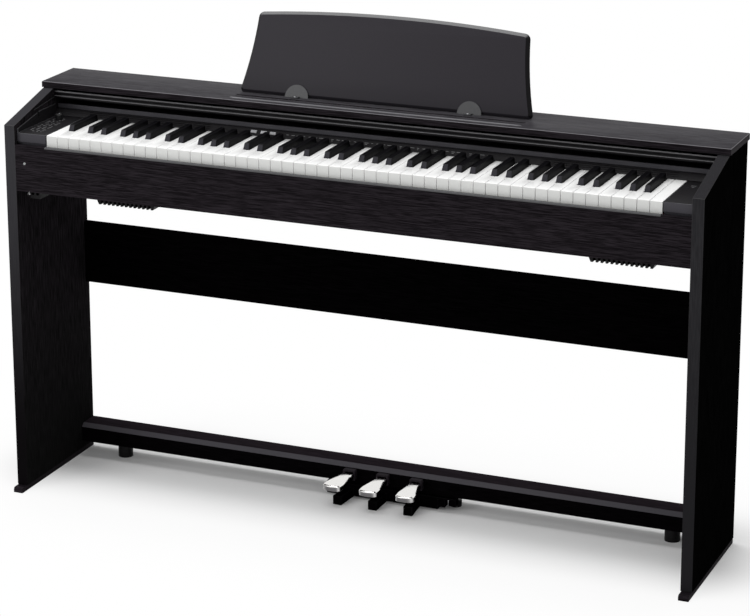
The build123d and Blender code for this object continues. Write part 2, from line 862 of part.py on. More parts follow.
def speaker_grille(x):
    """An open-topped cover with sloping ends and a row of slots in its floor and front."""
    half = grille_width / 2
    low_half = half - grille_end_slope
    outer = [(x - half, bed_bottom_z), (x - low_half, grille_bottom_z)]
    outer += [(x + low_half, grille_bottom_z), (x + half, bed_bottom_z)]
    inner_half = half - 2 * grille_wall
    inner_low = low_half - grille_wall
    floor_z = grille_bottom_z + grille_wall
    inner = [(x - inner_half, bed_bottom_z + 1), (x - inner_low, floor_z)]
    inner += [(x + inner_low, floor_z), (x + inner_half, bed_bottom_z + 1)]
    cover = prism_y(outer, grille_y)
    cover -= prism_y(inner, (grille_y[0] + grille_wall, grille_y[1] - grille_wall))
    pitch = 2 * (low_half - grille_wall) / rib_count
    for index in range(rib_count):
        middle = x - low_half + grille_wall + pitch * (index + 0.5)
        slot_y = (grille_y[0] - 1, grille_y[1] - 4 * grille_wall)
        slot_z = (grille_bottom_z - 1, grille_bottom_z + 4 * grille_wall)
        cover -= block(around(middle, rib_slot_width / 2), slot_y, slot_z)
    return cover


def side_bracket(side):
    """A steel angle that hangs the key bed from a side panel."""
    foot_x = sorted((side * (inner_x - bracket_width), side * inner_x))
    wall_x = sorted((side * (inner_x - bracket_thickness), side * inner_x))
    foot = block(foot_x, bracket_y, (bed_bottom_z - bracket_thickness, bed_bottom_z))
    return foot + block(wall_x, bracket_y, (bed_bottom_z - bracket_height, bed_bottom_z))


def assembly_screws():
    """Round-headed screws on the brackets, the side panels and the pedal rail."""
    heads = []
    foot_z = bed_bottom_z - bracket_thickness - screw_head_height
    for side in (-1, 1):
        for y in (bracket_y[0] + screw_inset, bracket_y[1] - screw_inset):
            x = side * (inner_x - bracket_width + screw_head_radius * 2)
            heads.append(rod((x, y, foot_z), (0, 0, 1), screw_head_radius, screw_head_height))
            wall_z = bed_bottom_z - bracket_height + screw_inset / 2
            wall = (side * (inner_x - bracket_thickness), y, wall_z)
            heads.append(rod(wall, (-side, 0, 0), screw_head_radius, screw_head_height))
        panel = (side * inner_x, panel_front_y + side_screw_setback, bed_bottom_z - side_screw_drop)
        heads.append(rod(panel, (-side, 0, 0), screw_head_radius, screw_head_height))
    rail = (inner_x - rail_screw_inset, rail_y[0] + screw_inset, rail_bottom_z - 2 * screw_head_height)
    heads.append(rod(rail, (0, 0, 1), screw_head_radius, 2 * screw_head_height))
    return group(heads)


# ---- music rest ----
rest_place = Plane(
    (0, rest_foot_y, overall_height + slide_gap),
    x_dir=(1, 0, 0),
    z_dir=(0, -cos(radians(rest_lean_deg)), sin(radians(rest_lean_deg))),
)


def music_rest():
    """The leaning desk: hollow sides, a crowned top, and a wide bevel around its face."""
    top_half = rest_bottom_half - rest_taper
    left_top = (-top_half, rest_side_height)
    right_top = (top_half, rest_side_height)
    waist = ((rest_bottom_half + top_half) / 2 - rest_side_bow, rest_side_height / 2)
    rim = Line((-rest_bottom_half, 0), (rest_bottom_half, 0))
    rim += ThreePointArc((rest_bottom_half, 0), waist, right_top)
    rim += ThreePointArc(right_top, (0, rest_side_height + rest_crown), left_top)
    rim += ThreePointArc(left_top, (-waist[0], waist[1]), (-rest_bottom_half, 0))
    face = make_face(rim)
    face = fillet(face.vertices().group_by(Axis.Y)[-1], rest_corner_radius)
    face = fillet(face.vertices().group_by(Axis.Y)[0], rest_foot_radius)
    desk = extrude(rest_place * face, amount=-rest_thickness)
    facing = Axis(rest_place.origin, rest_place.z_dir)
    front_edges = desk.faces().sort_by(facing)[-1].edges()
    desk = chamfer(front_edges, rest_bevel)
    sole_z = overall_height + slide_gap
    below = block(around(0, rest_bottom_half + 1), around(rest_foot_y, 60), (sole_z - 40, sole_z))
    return desk - below


def rest_disc(side):
    """A half-round plate on the desk's foot, with a small sole and a peg for the top board."""
    x = side * disc_x
    disc = extrude(rest_place * (Pos(x, 0) * Circle(disc_radius)), amount=disc_thickness)
    sole_z = overall_height + slide_gap
    below = block(around(x, disc_radius + 1), around(rest_foot_y, 60), (sole_z - 60, sole_z))
    sole_y = (rest_foot_y - disc_foot_depth, rest_foot_y - disc_thickness)
    sole = block(around(x, disc_foot_depth / 2), sole_y, (sole_z, sole_z + disc_thickness))
    peg = rod((x, peg_y, overall_height - peg_length), (0, 0, 1), peg_radius, peg_length + disc_thickness)
    desk_space = extrude(rest_place * Rectangle(4 * disc_x, 4 * disc_radius), amount=-rest_thickness)
    return (disc - below) + sole + peg - desk_space


def music_ledge():
    """The low strip that stops books from sliding off the top board."""
    front = top_front_y + ledge_setback
    back = front + ledge_depth
    half = rest_bottom_half - ledge_inset
    outline = [(-half, back), (-half + ledge_point, front), (half - ledge_point, front), (half, back)]
    face = Plane.XY.offset(overall_height) * make_face(Polyline(*outline, close=True))
    strip = extrude(face, amount=ledge_height)
    return chamfer(strip.edges().group_by(Axis.Z)[-1], ledge_height / 2)


# ---- pedals ----
def splayed(shape, side):
    """A shape near x = 0 turned a little outwards, about its back end at the collar."""
    turn = Pos(0, cap_back_y, 0) * Rot(0, 0, side * pedal_splay_deg) * Pos(0, -cap_back_y, 0)
    return turn * shape


def pedal_cap():
    """The pedal's cap about x = 0: narrow at the collar, wide and blunt in front."""
    belly_y = pedal_tip_y + pedal_belly_from_tip
    neck_y = pedal_tip_y + pedal_neck_from_tip
    corner_y = pedal_tip_y + pedal_front_bow
    half = pedal_half_width
    neck = pedal_neck_half
    rim = ThreePointArc((-half, corner_y), (0, pedal_tip_y), (half, corner_y))
    side = [(half, corner_y), (half, belly_y), (neck, neck_y), (neck, cap_back_y)]
    rim += Polyline(*side, *[(-x, y) for x, y in reversed(side)])
    face = make_face(rim)
    face = fillet(face.vertices().group_by(Axis.Y)[0], pedal_front_radius)
    bends = [v for v in face.vertices() if belly_y - 1 < v.Y < neck_y + 1]
    face = fillet(bends, pedal_side_radius)
    low_z = pedal_top_z - pedal_cap_thickness
    cap = extrude(Plane.XY.offset(low_z) * face, amount=pedal_cap_thickness)
    return chamfer(cap.faces().sort_by(Axis.Z)[-1].edges(), pedal_edge_round)


def pedal(x, side):
    """A cast pedal lever: its cap, its arm, and a bored boss for the pivot rod."""
    arm_y = (cap_back_y - pedal_neck_half, pedal_pivot_y + pedal_arm_back)
    arm_z = (pedal_top_z - pedal_thickness, pedal_top_z - pedal_edge_round)
    lever = splayed(pedal_cap(), side) + block(around(0, pedal_arm_half), arm_y, arm_z)
    boss_y = around(pedal_pivot_y, 2 * pedal_rod_radius)
    boss_z = around(pedal_pivot_z, 2 * pedal_rod_radius)
    lever += block(around(0, pedal_arm_half), boss_y, boss_z)
    start = (-pedal_arm_half - 1, pedal_pivot_y, pedal_pivot_z)
    lever -= rod(start, (1, 0, 0), pedal_rod_radius + fit_gap, 2 * pedal_arm_half + 2)
    return Pos(x, 0, 0) * lever


slot_drop = (pedal_pivot_y - rail_y[0] + collar_depth) * tan(radians(pedal_press_deg)) + slot_gap
slot_z = (pedal_top_z - pedal_thickness - slot_drop, pedal_top_z + slot_gap)


def pedal_rail():
    """The bar between the side panels, hollowed behind the pedals and slotted for them."""
    outline = [
        (rail_y[0], rail_bottom_z),
        (rail_y[1], rail_bottom_z),
        (rail_y[1], rail_top_z),
        (rail_y[0] + rail_chamfer[0], rail_top_z),
        (rail_y[0], rail_top_z - rail_chamfer[1]),
    ]
    rail = prism_x(outline, board_span)
    pocket_y = (rail_y[0] + pocket_wall, rail_y[1] - pocket_wall)
    rail -= block((-pocket_half, pocket_half), pocket_y, (rail_bottom_z - 1, rail_top_z - pocket_roof))
    for x in pedal_xs:
        rail -= block(around(x, slot_half), around(rail_y[0], pocket_wall + 2), slot_z)
    hole_radius = adjuster_stem_radius + slide_gap
    hole_length = adjuster_stem + adjuster_travel + 1
    rail -= rod((adjuster_x, adjuster_y, rail_bottom_z - 1), (0, 0, 1), hole_radius, hole_length)
    return rail


def pedal_collar(x):
    """The dark frame around a pedal's slot."""
    outer_x = around(x, slot_half + collar_border)
    outer_z = (slot_z[0] - collar_sill, slot_z[1] + collar_border)
    y_span = (rail_y[0] - collar_depth, rail_y[0])
    frame = block(outer_x, y_span, outer_z)
    frame = fillet(frame.edges().filter_by(Axis.Y).group_by(Axis.Z)[-1], collar_round)
    return frame - block(around(x, slot_half), around(y_span[0], 20), slot_z)


def pedal_housing():
    """The case under the rail that closes the pedal mechanism, with a floor stay under each pedal."""
    base_y = (rail_y[0] - collar_depth, rail_y[1] - pocket_wall)
    case = block((-housing_half, housing_half), base_y, (housing_lift, rail_bottom_z))
    block_y = (base_y[0], base_y[0] + housing_block_depth)
    plate_x = (housing_half - 1, housing_half + housing_blocks[-1][1])
    case += block(plate_x, block_y, (rail_bottom_z - housing_plate, rail_bottom_z))
    for near, far, low_z in housing_blocks:
        case += block((housing_half + near, housing_half + far), block_y, (low_z, rail_bottom_z))
    stay_y = (rail_y[0] - stay_reach, base_y[0] + stay_half)
    for x, side in zip(pedal_xs, (-1, 0, 1)):
        stay = splayed(block(around(0, stay_half), stay_y, (0, stay_height)), side)
        case += Pos(x, 0, 0) * stay
    return case


def pedal_pivot_rod():
    """The rod through the three pedals, held by the rail's pocket."""
    return rod((-pocket_half, pedal_pivot_y, pedal_pivot_z), (1, 0, 0), pedal_rod_radius, 2 * pocket_half)


def pedal_adjuster():
    """The screw foot that props the pedal rail on the floor."""
    foot = rod((adjuster_x, adjuster_y, 0), (0, 0, 1), adjuster_radius, adjuster_head)
    stem_length = rail_bottom_z - adjuster_head + adjuster_stem
    stem_foot = (adjuster_x, adjuster_y, adjuster_head)
    return foot + rod(stem_foot, (0, 0, 1), adjuster_stem_radius, stem_length)


def rail_feet():
    """Two round feet under the pedal rail."""
    places = [(side * rail_foot_x, rail_foot_y, 0) for side in (-1, 1)]
    return group([rod(place, (0, 0, 1), rail_foot_radius, rail_bottom_z) for place in places])


# ---- knob and power button ----
def volume_knob():
    """The volume knob and its shaft."""
    cap = rod((knob_x, knob_y, key_top_z + slide_gap), (0, 0, 1), knob_radius, knob_height)
    cap = chamfer(cap.edges().group_by(Axis.Z)[-1], 1)
    bottom_z = key_top_z - knob_shaft_length
    return cap + rod((knob_x, knob_y, bottom_z), (0, 0, 1), knob_shaft_radius, knob_shaft_length + 1)


def power_button():
    """The power button in the right cheek."""
    z_span = (key_top_z + power_proud - power_length, key_top_z + power_proud)
    return block(around(power_x, power_size[0] / 2), around(power_y, power_size[1] / 2), z_span)


def all_nodes():
    """Every node's name and shape."""
    nodes = {
        "left_side_panel": side_panel(-1),
        "right_side_panel": side_panel(1),
        "foot_skids": group([foot_skid(-1), foot_skid(1)]),
        "top_board": top_board(),
        "cabinet_back": cabinet_back(),
        "key_bed": key_bed(),
        "front_board": front_board(),
        "left_end_block": left_end_block(),
        "right_end_block": right_end_block(),
        "control_panel": control_panel(),
        "panel_trim": panel_trim(),
        "rear_panel": rear_panel(),
        "pedal_rail": pedal_rail(),
        "rail_feet": rail_feet(),
        "music_ledge": music_ledge(),
        "key_frame": key_frame(),
        "key_cushions": key_cushions(),
        "key_pivot_rod": key_pivot_rod(),
        "main_circuit_board": main_circuit_board(),
        "rear_jack_plate": rear_jack_plate(),
        "headphone_box": headphone_box(),
        "speakers": group([speaker(-speaker_x), speaker(speaker_x)]),
        "speaker_grilles": group([speaker_grille(-speaker_x), speaker_grille(speaker_x)]),
        "pilot_lamp": pilot_lamp(),
        "side_brackets": group([side_bracket(-1), side_bracket(1)]),
        "assembly_screws": assembly_screws(),
        "pedal_housing": pedal_housing(),
        "pedal_collars": group([pedal_collar(x) for x in pedal_xs]),
        "pedal_pivot_rod": pedal_pivot_rod(),
        "pedal_adjuster": pedal_adjuster(),
        "lid_front_leaf": lid_leaf(front_leaf_back, front_leaf_up, front_tongue_up),
        "lid_handle": lid_handle(),
        "lid_rear_leaf": lid_leaf(rear_leaf_back, rear_leaf_up, rear_tongue_up),
        "music_rest": music_rest(),
        "music_rest_discs": group([rest_disc(-1), rest_disc(1)]),
        "lid_bumpers": lid_bumpers(),
        "volume_knob": volume_knob(),
        "power_button": power_button(),
    }
    for name, x in zip(button_names, button_xs):
        nodes[name] = panel_button(x)
    for name, x, side in zip(pedal_names, pedal_xs, (-1, 0, 1)):
        nodes[name] = pedal(x, side)
    nodes.update(key_nodes())
    return nodes


os.makedirs("parts", exist_ok=True)
for node_name, shape in all_nodes().items():
    export_step(shape, f"parts/{node_name}.step")
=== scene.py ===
# %% [markdown]
# # A digital piano on its stand
#
# This lesson dresses a finished CAD model of a digital piano. The CAD gives every
# piece its place and its size in metres. Here the pieces get rounded edges, small
# fittings and finishes, and a camera and soft studio lights show them.
# The first cell loads the model.

# %% Load the piano
import json
import math

import bmesh
import bpy
from mathutils import Matrix, Vector

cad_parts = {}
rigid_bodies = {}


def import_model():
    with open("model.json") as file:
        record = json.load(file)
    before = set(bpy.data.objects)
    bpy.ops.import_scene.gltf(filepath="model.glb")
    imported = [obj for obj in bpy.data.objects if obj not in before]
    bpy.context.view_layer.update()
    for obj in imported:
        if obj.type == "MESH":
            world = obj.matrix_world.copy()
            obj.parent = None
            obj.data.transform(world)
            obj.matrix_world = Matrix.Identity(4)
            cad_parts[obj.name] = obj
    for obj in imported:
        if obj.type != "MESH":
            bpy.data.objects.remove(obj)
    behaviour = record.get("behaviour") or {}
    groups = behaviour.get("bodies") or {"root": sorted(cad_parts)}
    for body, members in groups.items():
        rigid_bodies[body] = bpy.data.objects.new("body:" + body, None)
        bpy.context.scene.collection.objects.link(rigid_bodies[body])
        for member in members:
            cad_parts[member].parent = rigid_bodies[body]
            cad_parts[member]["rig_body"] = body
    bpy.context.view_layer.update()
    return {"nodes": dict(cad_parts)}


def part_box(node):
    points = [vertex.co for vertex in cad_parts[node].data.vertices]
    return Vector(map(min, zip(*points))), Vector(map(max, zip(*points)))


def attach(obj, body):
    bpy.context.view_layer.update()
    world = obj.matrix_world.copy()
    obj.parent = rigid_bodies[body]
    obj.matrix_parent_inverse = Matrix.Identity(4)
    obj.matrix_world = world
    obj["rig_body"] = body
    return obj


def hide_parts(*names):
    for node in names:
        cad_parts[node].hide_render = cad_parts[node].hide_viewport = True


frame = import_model()
MM = 0.001
X, Y, Z = 0, 1, 2
nodes = frame["nodes"]

# %% [markdown]
# ## The camera
#
# A piano is wide and low, so it is shown from the front and a little above, from the
# treble side. A short lens would splay its ends, so a long one is used, which keeps
# the boards nearly parallel. Three directions set the view: what is right, what is up,
# and what is behind the camera. A shift of the lens raises the piano in the picture
# without tilting the camera, so that its uprights stay upright.

# %% Camera
VIEW_RIGHT = Vector((0.92257, 0.385828, -0.001129))
VIEW_UP = Vector((-0.102317, 0.247473, 0.963477))
VIEW_BACK = Vector((0.372016, -0.88876, 0.267788))
VIEW_PLACE = Vector((1.9165, -4.5269, 2.0111))
SENSOR_MM = 36
LENS_MM = 130.87
LENS_SHIFT = -0.15

lens = bpy.data.cameras.new("studio_camera")
lens.sensor_width = SENSOR_MM
lens.lens = LENS_MM
lens.shift_y = LENS_SHIFT
camera = bpy.data.objects.new("studio_camera", lens)
bpy.context.scene.collection.objects.link(camera)
turn = Matrix((VIEW_RIGHT, VIEW_UP, VIEW_BACK)).transposed().to_4x4()
camera.matrix_world = Matrix.Translation(VIEW_PLACE) @ turn
bpy.context.scene.camera = camera
print("camera", [round(v, 2) for v in VIEW_PLACE], "lens", LENS_MM, "mm")

# %% [markdown]
# ## Trees of nodes
#
# Materials and Geometry Nodes are both trees of nodes. Wiring them one by one is
# long to read, so a small class wraps an output socket and lets ordinary arithmetic
# add the Math nodes. One method adds any other node: its settings come first,
# because they can change which sockets it has, and then the sockets are filled.


# %% Arithmetic on sockets
def plug(tree, socket, value):
    """Links a wire to a socket, or sets the socket to a plain value."""
    if isinstance(value, Wire):
        tree.links.new(value.socket, socket)
    else:
        socket.default_value = value


def maths(operation, first, second=0.0):
    """A Math node, of which at least one side is a wire."""
    tree = first.tree if isinstance(first, Wire) else second.tree
    node = tree.nodes.new("ShaderNodeMath")
    node.operation = operation
    plug(tree, node.inputs[0], first)
    plug(tree, node.inputs[1], second)
    return Wire(tree, node.outputs[0])


class Wire:
    """One output socket, with arithmetic that adds Math nodes."""

    def __init__(self, tree, socket):
        self.tree = tree
        self.socket = socket

    def __add__(self, other):
        return maths("ADD", self, other)

    def __radd__(self, other):
        return maths("ADD", other, self)

    def __sub__(self, other):
        return maths("SUBTRACT", self, other)

    def __rsub__(self, other):
        return maths("SUBTRACT", other, self)

    def __mul__(self, other):
        return maths("MULTIPLY", self, other)

    def __rmul__(self, other):
        return maths("MULTIPLY", other, self)

    def __gt__(self, other):
        return maths("GREATER_THAN", self, other)

    def __lt__(self, other):
        return maths("LESS_THAN", self, other)


class Tree:
    """A node tree with one method that adds any node."""

    def __init__(self, tree):
        self.tree = tree

    def add(self, kind, settings=None, sockets=None, output=0):
        node = self.tree.nodes.new(kind)
        for name, value in (settings or {}).items():
            if name == "stops":
                fill_ramp(node.color_ramp, value)
            else:
                setattr(node, name, value)
        for name, value in (sockets or {}).items():
            plug(self.tree, node.inputs[name], value)
        if node.outputs:
            return Wire(self.tree, node.outputs[output])
        return None


def fill_ramp(ramp, stops):
    """Gives a colour ramp its stops, each a position and a grey or a colour."""
    for index, (position, colour) in enumerate(stops):
        if index < len(ramp.elements):
            stop = ramp.elements[index]
        else:
            stop = ramp.elements.new(position)
        stop.position = position
        stop.color = opaque(colour)


def opaque(value):
    """A colour with alpha, from one grey value or three channels."""
    if isinstance(value, (int, float)):
        value = (value, value, value)
    return (*value, 1.0)


print("wires and trees are ready")

# %% [markdown]
# ## A finish in one call
#
# Every finish here is a Principled shader. What is the same all over the surface is
# set on the shader itself. What varies, such as grain or fine moulding texture, comes
# from a small function that reads the place on the piece. A height becomes a bump.
# An image could be wrapped round each piece instead, but a pattern in space needs no
# unwrapping and runs on from one board to the next.


# %% Making a finish
def make_finish(name, constants, surface):
    """A procedural material: constants for the shader, and what varies over it."""
    material = bpy.data.materials.new(name)
    material.use_nodes = True
    material.node_tree.nodes.clear()
    tree = Tree(material.node_tree)
    place = tree.add("ShaderNodeTexCoord", output="Object")
    varying = surface(tree, place)
    height = varying.pop("Height", None)
    if height is not None:
        depth = varying.pop("Depth")
        bump = {"Strength": 1.0, "Distance": depth, "Height": height}
        varying["Normal"] = tree.add("ShaderNodeBump", sockets=bump)
    shader = tree.add("ShaderNodeBsdfPrincipled", sockets={**constants, **varying})
    tree.add("ShaderNodeOutputMaterial", sockets={"Surface": shader})
    return material


def noise(tree, place, stretch, detail, rough=0.55):
    """Noise between 0 and 1 that is stretched by different amounts along x, y and z."""
    mapped = tree.add("ShaderNodeMapping", sockets={"Vector": place, "Scale": stretch})
    settings = {"noise_dimensions": "3D"}
    sockets = {"Vector": mapped, "Scale": 1.0, "Detail": detail, "Roughness": rough}
    return tree.add("ShaderNodeTexNoise", settings, sockets)


MIX_FACTOR, MIX_FIRST, MIX_SECOND, MIX_RESULT = 0, 6, 7, 2


def blend(tree, factor, first, second):
    """A colour between two, each a wire, a grey value or three channels."""
    first = first if isinstance(first, Wire) else opaque(first)
    second = second if isinstance(second, Wire) else opaque(second)
    sockets = {MIX_FACTOR: factor, MIX_FIRST: first, MIX_SECOND: second}
    return tree.add("ShaderNodeMix", {"data_type": "RGBA"}, sockets, output=MIX_RESULT)


def ramp(tree, value, stops):
    """A value or a colour read off a ramp."""
    return tree.add("ShaderNodeValToRGB", {"stops": stops}, {"Fac": value})


def ease(tree, value, low, high):
    """0 below low, 1 above high, and smooth between them."""
    settings = {"interpolation_type": "SMOOTHSTEP"}
    sockets = {"Value": value, "From Min": low, "From Max": high}
    return tree.add("ShaderNodeMapRange", settings, sockets)


def part_of(tree, vector, axis):
    """One of the three numbers of a vector."""
    return tree.add("ShaderNodeSeparateXYZ", sockets={0: vector}, output=axis)


print("finishes can be made")

# %% [markdown]
# ## Painted light and shade by side
#
# A black piano shows its form by where it catches light: its tops look grey, its
# fronts black, and a thin pale line runs along each edge. Lamps alone could do that
# for one view only. Here each finish carries part of it as painted light and shade,
# by the way that the surface faces, so that the piano reads well from any side.


# %% Which way a surface faces
def facing(tree, axis):
    """How far the surface faces along an axis, from -1 to 1."""
    normal = tree.add("ShaderNodeTexCoord", output="Normal")
    return part_of(tree, normal, axis)


def larger(first, second):
    return maths("MAXIMUM", first, second)


def size_of(wire):
    return maths("ABSOLUTE", wire)


def on_part(tree, part):
    """1 on the top, front, side or corner of a squared piece, for painted light."""
    if part == "top":
        return ease(tree, facing(tree, Z), 0.5, 0.85)
    if part == "front":
        return ease(tree, 0.0 - facing(tree, Y), 0.5, 0.85)
    if part == "side":
        return ease(tree, size_of(facing(tree, X)), 0.3, 0.7)
    across, deep, high = [size_of(facing(tree, axis)) for axis in (X, Y, Z)]
    squareness = larger(across, larger(deep, high))
    return ease(tree, 1.0 - squareness, 0.03, 0.2)


def paint_light_by_part(tree, colour, painted_shades):
    """Paints light or shade over each named part of a piece."""
    for part, shade in (painted_shades or {}).items():
        colour = blend(tree, on_part(tree, part), colour, shade)
    return colour


print("shades can follow top, front, side and corner")

# %% [markdown]
# ## The black wood film
#
# The boards are chipboard under a black printed film with fine straight pores.
# Long, thin noise along the grain gives the pores, and a wider one makes slow streaks.
# A wave pattern would make rings, which a film of straight grain does not have.
# The film is nearly matt: it reflects little from the front, and more at a low angle,
# which adds a little grey to a top seen from the front. Most of the grey of the top
# board is painted light, a paler film on faces that point up, with a painted highlight
# along its edges. The pedal rail gets the same on its top and chamfer, and the rail and
# the rear panel are darker copies of the film, as painted shade.

# %% Wood film
PORES = (30.0, 760.0, 760.0)
STREAKS = (5.0, 150.0, 150.0)
PORE_STOPS = [(0.4, 0.0), (0.62, 1.0)]
PORE_DEPTH = 0.05 * MM


def wood_film(name, dark, light, specular, top=None, painted_shades=None):
    """Black film with pores along x, with painted light on top and on named parts."""

    def surface(tree, place):
        fine = noise(tree, place, PORES, detail=2.0, rough=0.6)
        slow = noise(tree, place, STREAKS, detail=3.0)
        line = ramp(tree, fine, PORE_STOPS)
        mask = line * (0.35 + slow * 0.75)
        colour = blend(tree, mask, dark, light)
        # Painted light: faces that point up get a paler film.
        if top is not None:
            up = ease(tree, facing(tree, Z), 0.3, 0.8)
            colour = blend(tree, up, colour, blend(tree, mask, *top))
        colour = paint_light_by_part(tree, colour, painted_shades)
        rough = 0.55 - slow * 0.1 + line * 0.06
        return {"Base Color": colour, "Roughness": rough, "Height": line, "Depth": PORE_DEPTH}

    return make_finish(name, {"Specular IOR Level": specular}, surface)


FRONT_FILM = ((0.0050, 0.0040, 0.0050), (0.025, 0.0205, 0.0250))
# Painted light on the top board's upper faces and a painted highlight on its edges.
TOP_PAINTED_LIGHT = ((0.018, 0.0165, 0.0195), (0.066, 0.064, 0.07))
TOP_PAINTED_EDGE_HIGHLIGHT = {"corner": (0.16, 0.155, 0.165)}
# Darker copies of the film as painted shade for the rear panel and the pedal rail, with
# painted light on the rail's top and a painted highlight on its chamfer.
REAR_FILM_PAINTED_SHADE = ((0.0006, 0.0005, 0.0006), (0.002, 0.0017, 0.002))
RAIL_FILM_PAINTED_SHADE = ((0.0012, 0.001, 0.0012), (0.004, 0.0032, 0.004))
RAIL_TOP_PAINTED_LIGHT = ((0.014, 0.011, 0.0135), (0.028, 0.0225, 0.0275))
RAIL_PAINTED_EDGE_HIGHLIGHT = {"corner": (0.08, 0.076, 0.085)}
wood_across = wood_film("black_film_across", *FRONT_FILM, 0.02)
wood_rear = wood_film("black_film_rear_painted_shade", *REAR_FILM_PAINTED_SHADE, 0.0)
wood_top = wood_film("black_film_top", *FRONT_FILM, 0.03, TOP_PAINTED_LIGHT, TOP_PAINTED_EDGE_HIGHLIGHT)
wood_rail = wood_film("black_film_rail_painted_shade", *RAIL_FILM_PAINTED_SHADE, 0.0, RAIL_TOP_PAINTED_LIGHT, RAIL_PAINTED_EDGE_HIGHLIGHT)
print("wood films", wood_across.name, wood_rear.name, wood_top.name, wood_rail.name)

# %% [markdown]
# ## The side panels
#
# The grain of the side panels runs upright, and their front edges wear a band of
# smoother film. The band is painted paler towards the top, as light where it leans back
# to the lamps, and a painted highlight runs up its corners. One finish serves both
# panels and tells them apart by the side of the middle that the place is on: the left
# one's faces are painted a little lighter, paler towards the top, and the right one's
# are painted near black, as shade. Two finishes would repeat all the rest.

# %% Side panels
PANEL_PORES = (520.0, 520.0, 26.0)
# Painted light and shade: the right panel's face is near black, the left one's face and both
# bands grow paler towards the top, and the corners get a painted highlight.
PANEL_PAINTED_EDGE_HIGHLIGHT = 0.075
RIGHT_SIDE_PAINTED_SHADE = (0.0008, 0.0022)
LEFT_SIDE_PORE = 0.005
LEFT_SIDE_PAINTED_SHADE_LOW, LEFT_SIDE_PAINTED_LIGHT_HIGH = 0.009, (0.022, 0.0185, 0.022)
RIGHT_BAND_PAINTED_SHADE_LOW, LEFT_BAND_PAINTED_SHADE_LOW = (0.016, 0.0155, 0.017), (0.0045, 0.004, 0.0045)
RIGHT_BAND_PAINTED_LIGHT_HIGH, LEFT_BAND_PAINTED_LIGHT_HIGH = (0.021, 0.0204, 0.0225), (0.037, 0.036, 0.04)
BAND_PORE_PAINTED_HIGHLIGHT = (0.055, 0.054, 0.058)


def panel_surface(tree, place):
    """A black side panel with painted light and shade, paler towards the top of its band."""
    fine = noise(tree, place, PANEL_PORES, detail=2.0, rough=0.6)
    line = ramp(tree, fine, PORE_STOPS)
    height = part_of(tree, place, Z)
    on_left = part_of(tree, place, X) < 0.0
    lit_side = blend(tree, ease(tree, height, 0.0, 0.6), LEFT_SIDE_PAINTED_SHADE_LOW, LEFT_SIDE_PAINTED_LIGHT_HIGH)
    left_side = blend(tree, line, LEFT_SIDE_PORE, lit_side)
    side = blend(tree, on_left, blend(tree, line, *RIGHT_SIDE_PAINTED_SHADE), left_side)
    band_painted_shade_low = blend(tree, on_left, RIGHT_BAND_PAINTED_SHADE_LOW, LEFT_BAND_PAINTED_SHADE_LOW)
    band_painted_light_high = blend(tree, on_left, RIGHT_BAND_PAINTED_LIGHT_HIGH, LEFT_BAND_PAINTED_LIGHT_HIGH)
    # Painted light that grows towards the top, on the band, its pores and its corners.
    painted_light_by_height = ease(tree, height, 0.1, 0.74)
    band = blend(tree, painted_light_by_height, band_painted_shade_low, band_painted_light_high)
    band = blend(tree, line * painted_light_by_height * 0.25, band, BAND_PORE_PAINTED_HIGHLIGHT)
    colour = blend(tree, on_part(tree, "side"), band, side)
    colour = blend(tree, on_part(tree, "corner") * painted_light_by_height, colour, PANEL_PAINTED_EDGE_HIGHLIGHT)
    rough = 0.5 + line * 0.06
    return {"Base Color": colour, "Roughness": rough, "Height": line, "Depth": PORE_DEPTH}


wood_upright = make_finish("black_film_upright", {"Specular IOR Level": 0.0}, panel_surface)
print("panel film", wood_upright.name)

# %% [markdown]
# ## Plastics
#
# The key cheeks, the control panel and the lid's handle are moulded plastic with a
# fine spark-eroded texture. The keys are harder and smoother: white ones in acrylic,
# black ones matt on top, so that a finger does not slip. All of them differ only in
# shade, gloss, grain and the painted light or shade that some carry on their tops,
# fronts or edges, so one function makes them, where a shader drawn by hand for each
# would say the same thing many times.


# %% Moulded plastics
def moulded(name, colour, rough, specular, grain=900.0, depth=0.02, painted_shades=None):
    """Plastic with a fine even texture from its mould, and painted light or shade on named
    parts.
    """

    def surface(tree, place):
        fine = noise(tree, place, (grain,) * 3, detail=1.0)
        cloud = noise(tree, place, (9.0,) * 3, detail=2.0)
        deeper = tuple(channel * 0.9 for channel in colour)
        base = paint_light_by_part(tree, blend(tree, cloud, deeper, colour), painted_shades)
        uneven = rough - 0.05 + fine * 0.1
        return {"Base Color": base, "Roughness": uneven, "Height": fine, "Depth": depth * MM}

    return make_finish(name, {"Specular IOR Level": specular}, surface)


# Painted light: paler cheek fronts, and painted highlights on the cheeks' edges and on the
# upward faces of the lid's handle.
CHEEK_PAINTED_LIGHT = {"front": (0.052, 0.05, 0.058), "corner": (0.11, 0.11, 0.118)}
LID_PAINTED_HIGHLIGHT = {"top": (0.34, 0.336, 0.35)}
HOUSING_PAINTED_EDGE_HIGHLIGHT = {"corner": (0.035, 0.033, 0.037)}
plastic_black = moulded("moulded_black", (0.006, 0.0056, 0.0062), 0.4, 0.12)
plastic_cheek = moulded("cheek_black", (0.010, 0.0094, 0.0105), 0.42, 0.1, painted_shades=CHEEK_PAINTED_LIGHT)
plastic_fascia = moulded("fascia_black", (0.014, 0.013, 0.0145), 0.45, 0.08)
# Near black: painted shade for the insides of grooves and recesses, and the colour of the
# speaker cloth.
cloth_and_groove_shade = moulded("cloth_and_groove_shade_black", (0.0016, 0.0015, 0.0016), 0.6, 0.0)
plastic_lid = moulded("lid_black", (0.007, 0.0065, 0.0075), 0.4, 0.1, painted_shades=LID_PAINTED_HIGHLIGHT)
plastic_leaf = moulded("leaf_black", (0.002, 0.002, 0.0022), 0.5, 0.02)
plastic_strip = moulded("trim_grey", (0.068, 0.066, 0.075), 0.4, 0.15)
plastic_ledge = moulded("ledge_grey", (0.15, 0.148, 0.157), 0.45, 0.15)
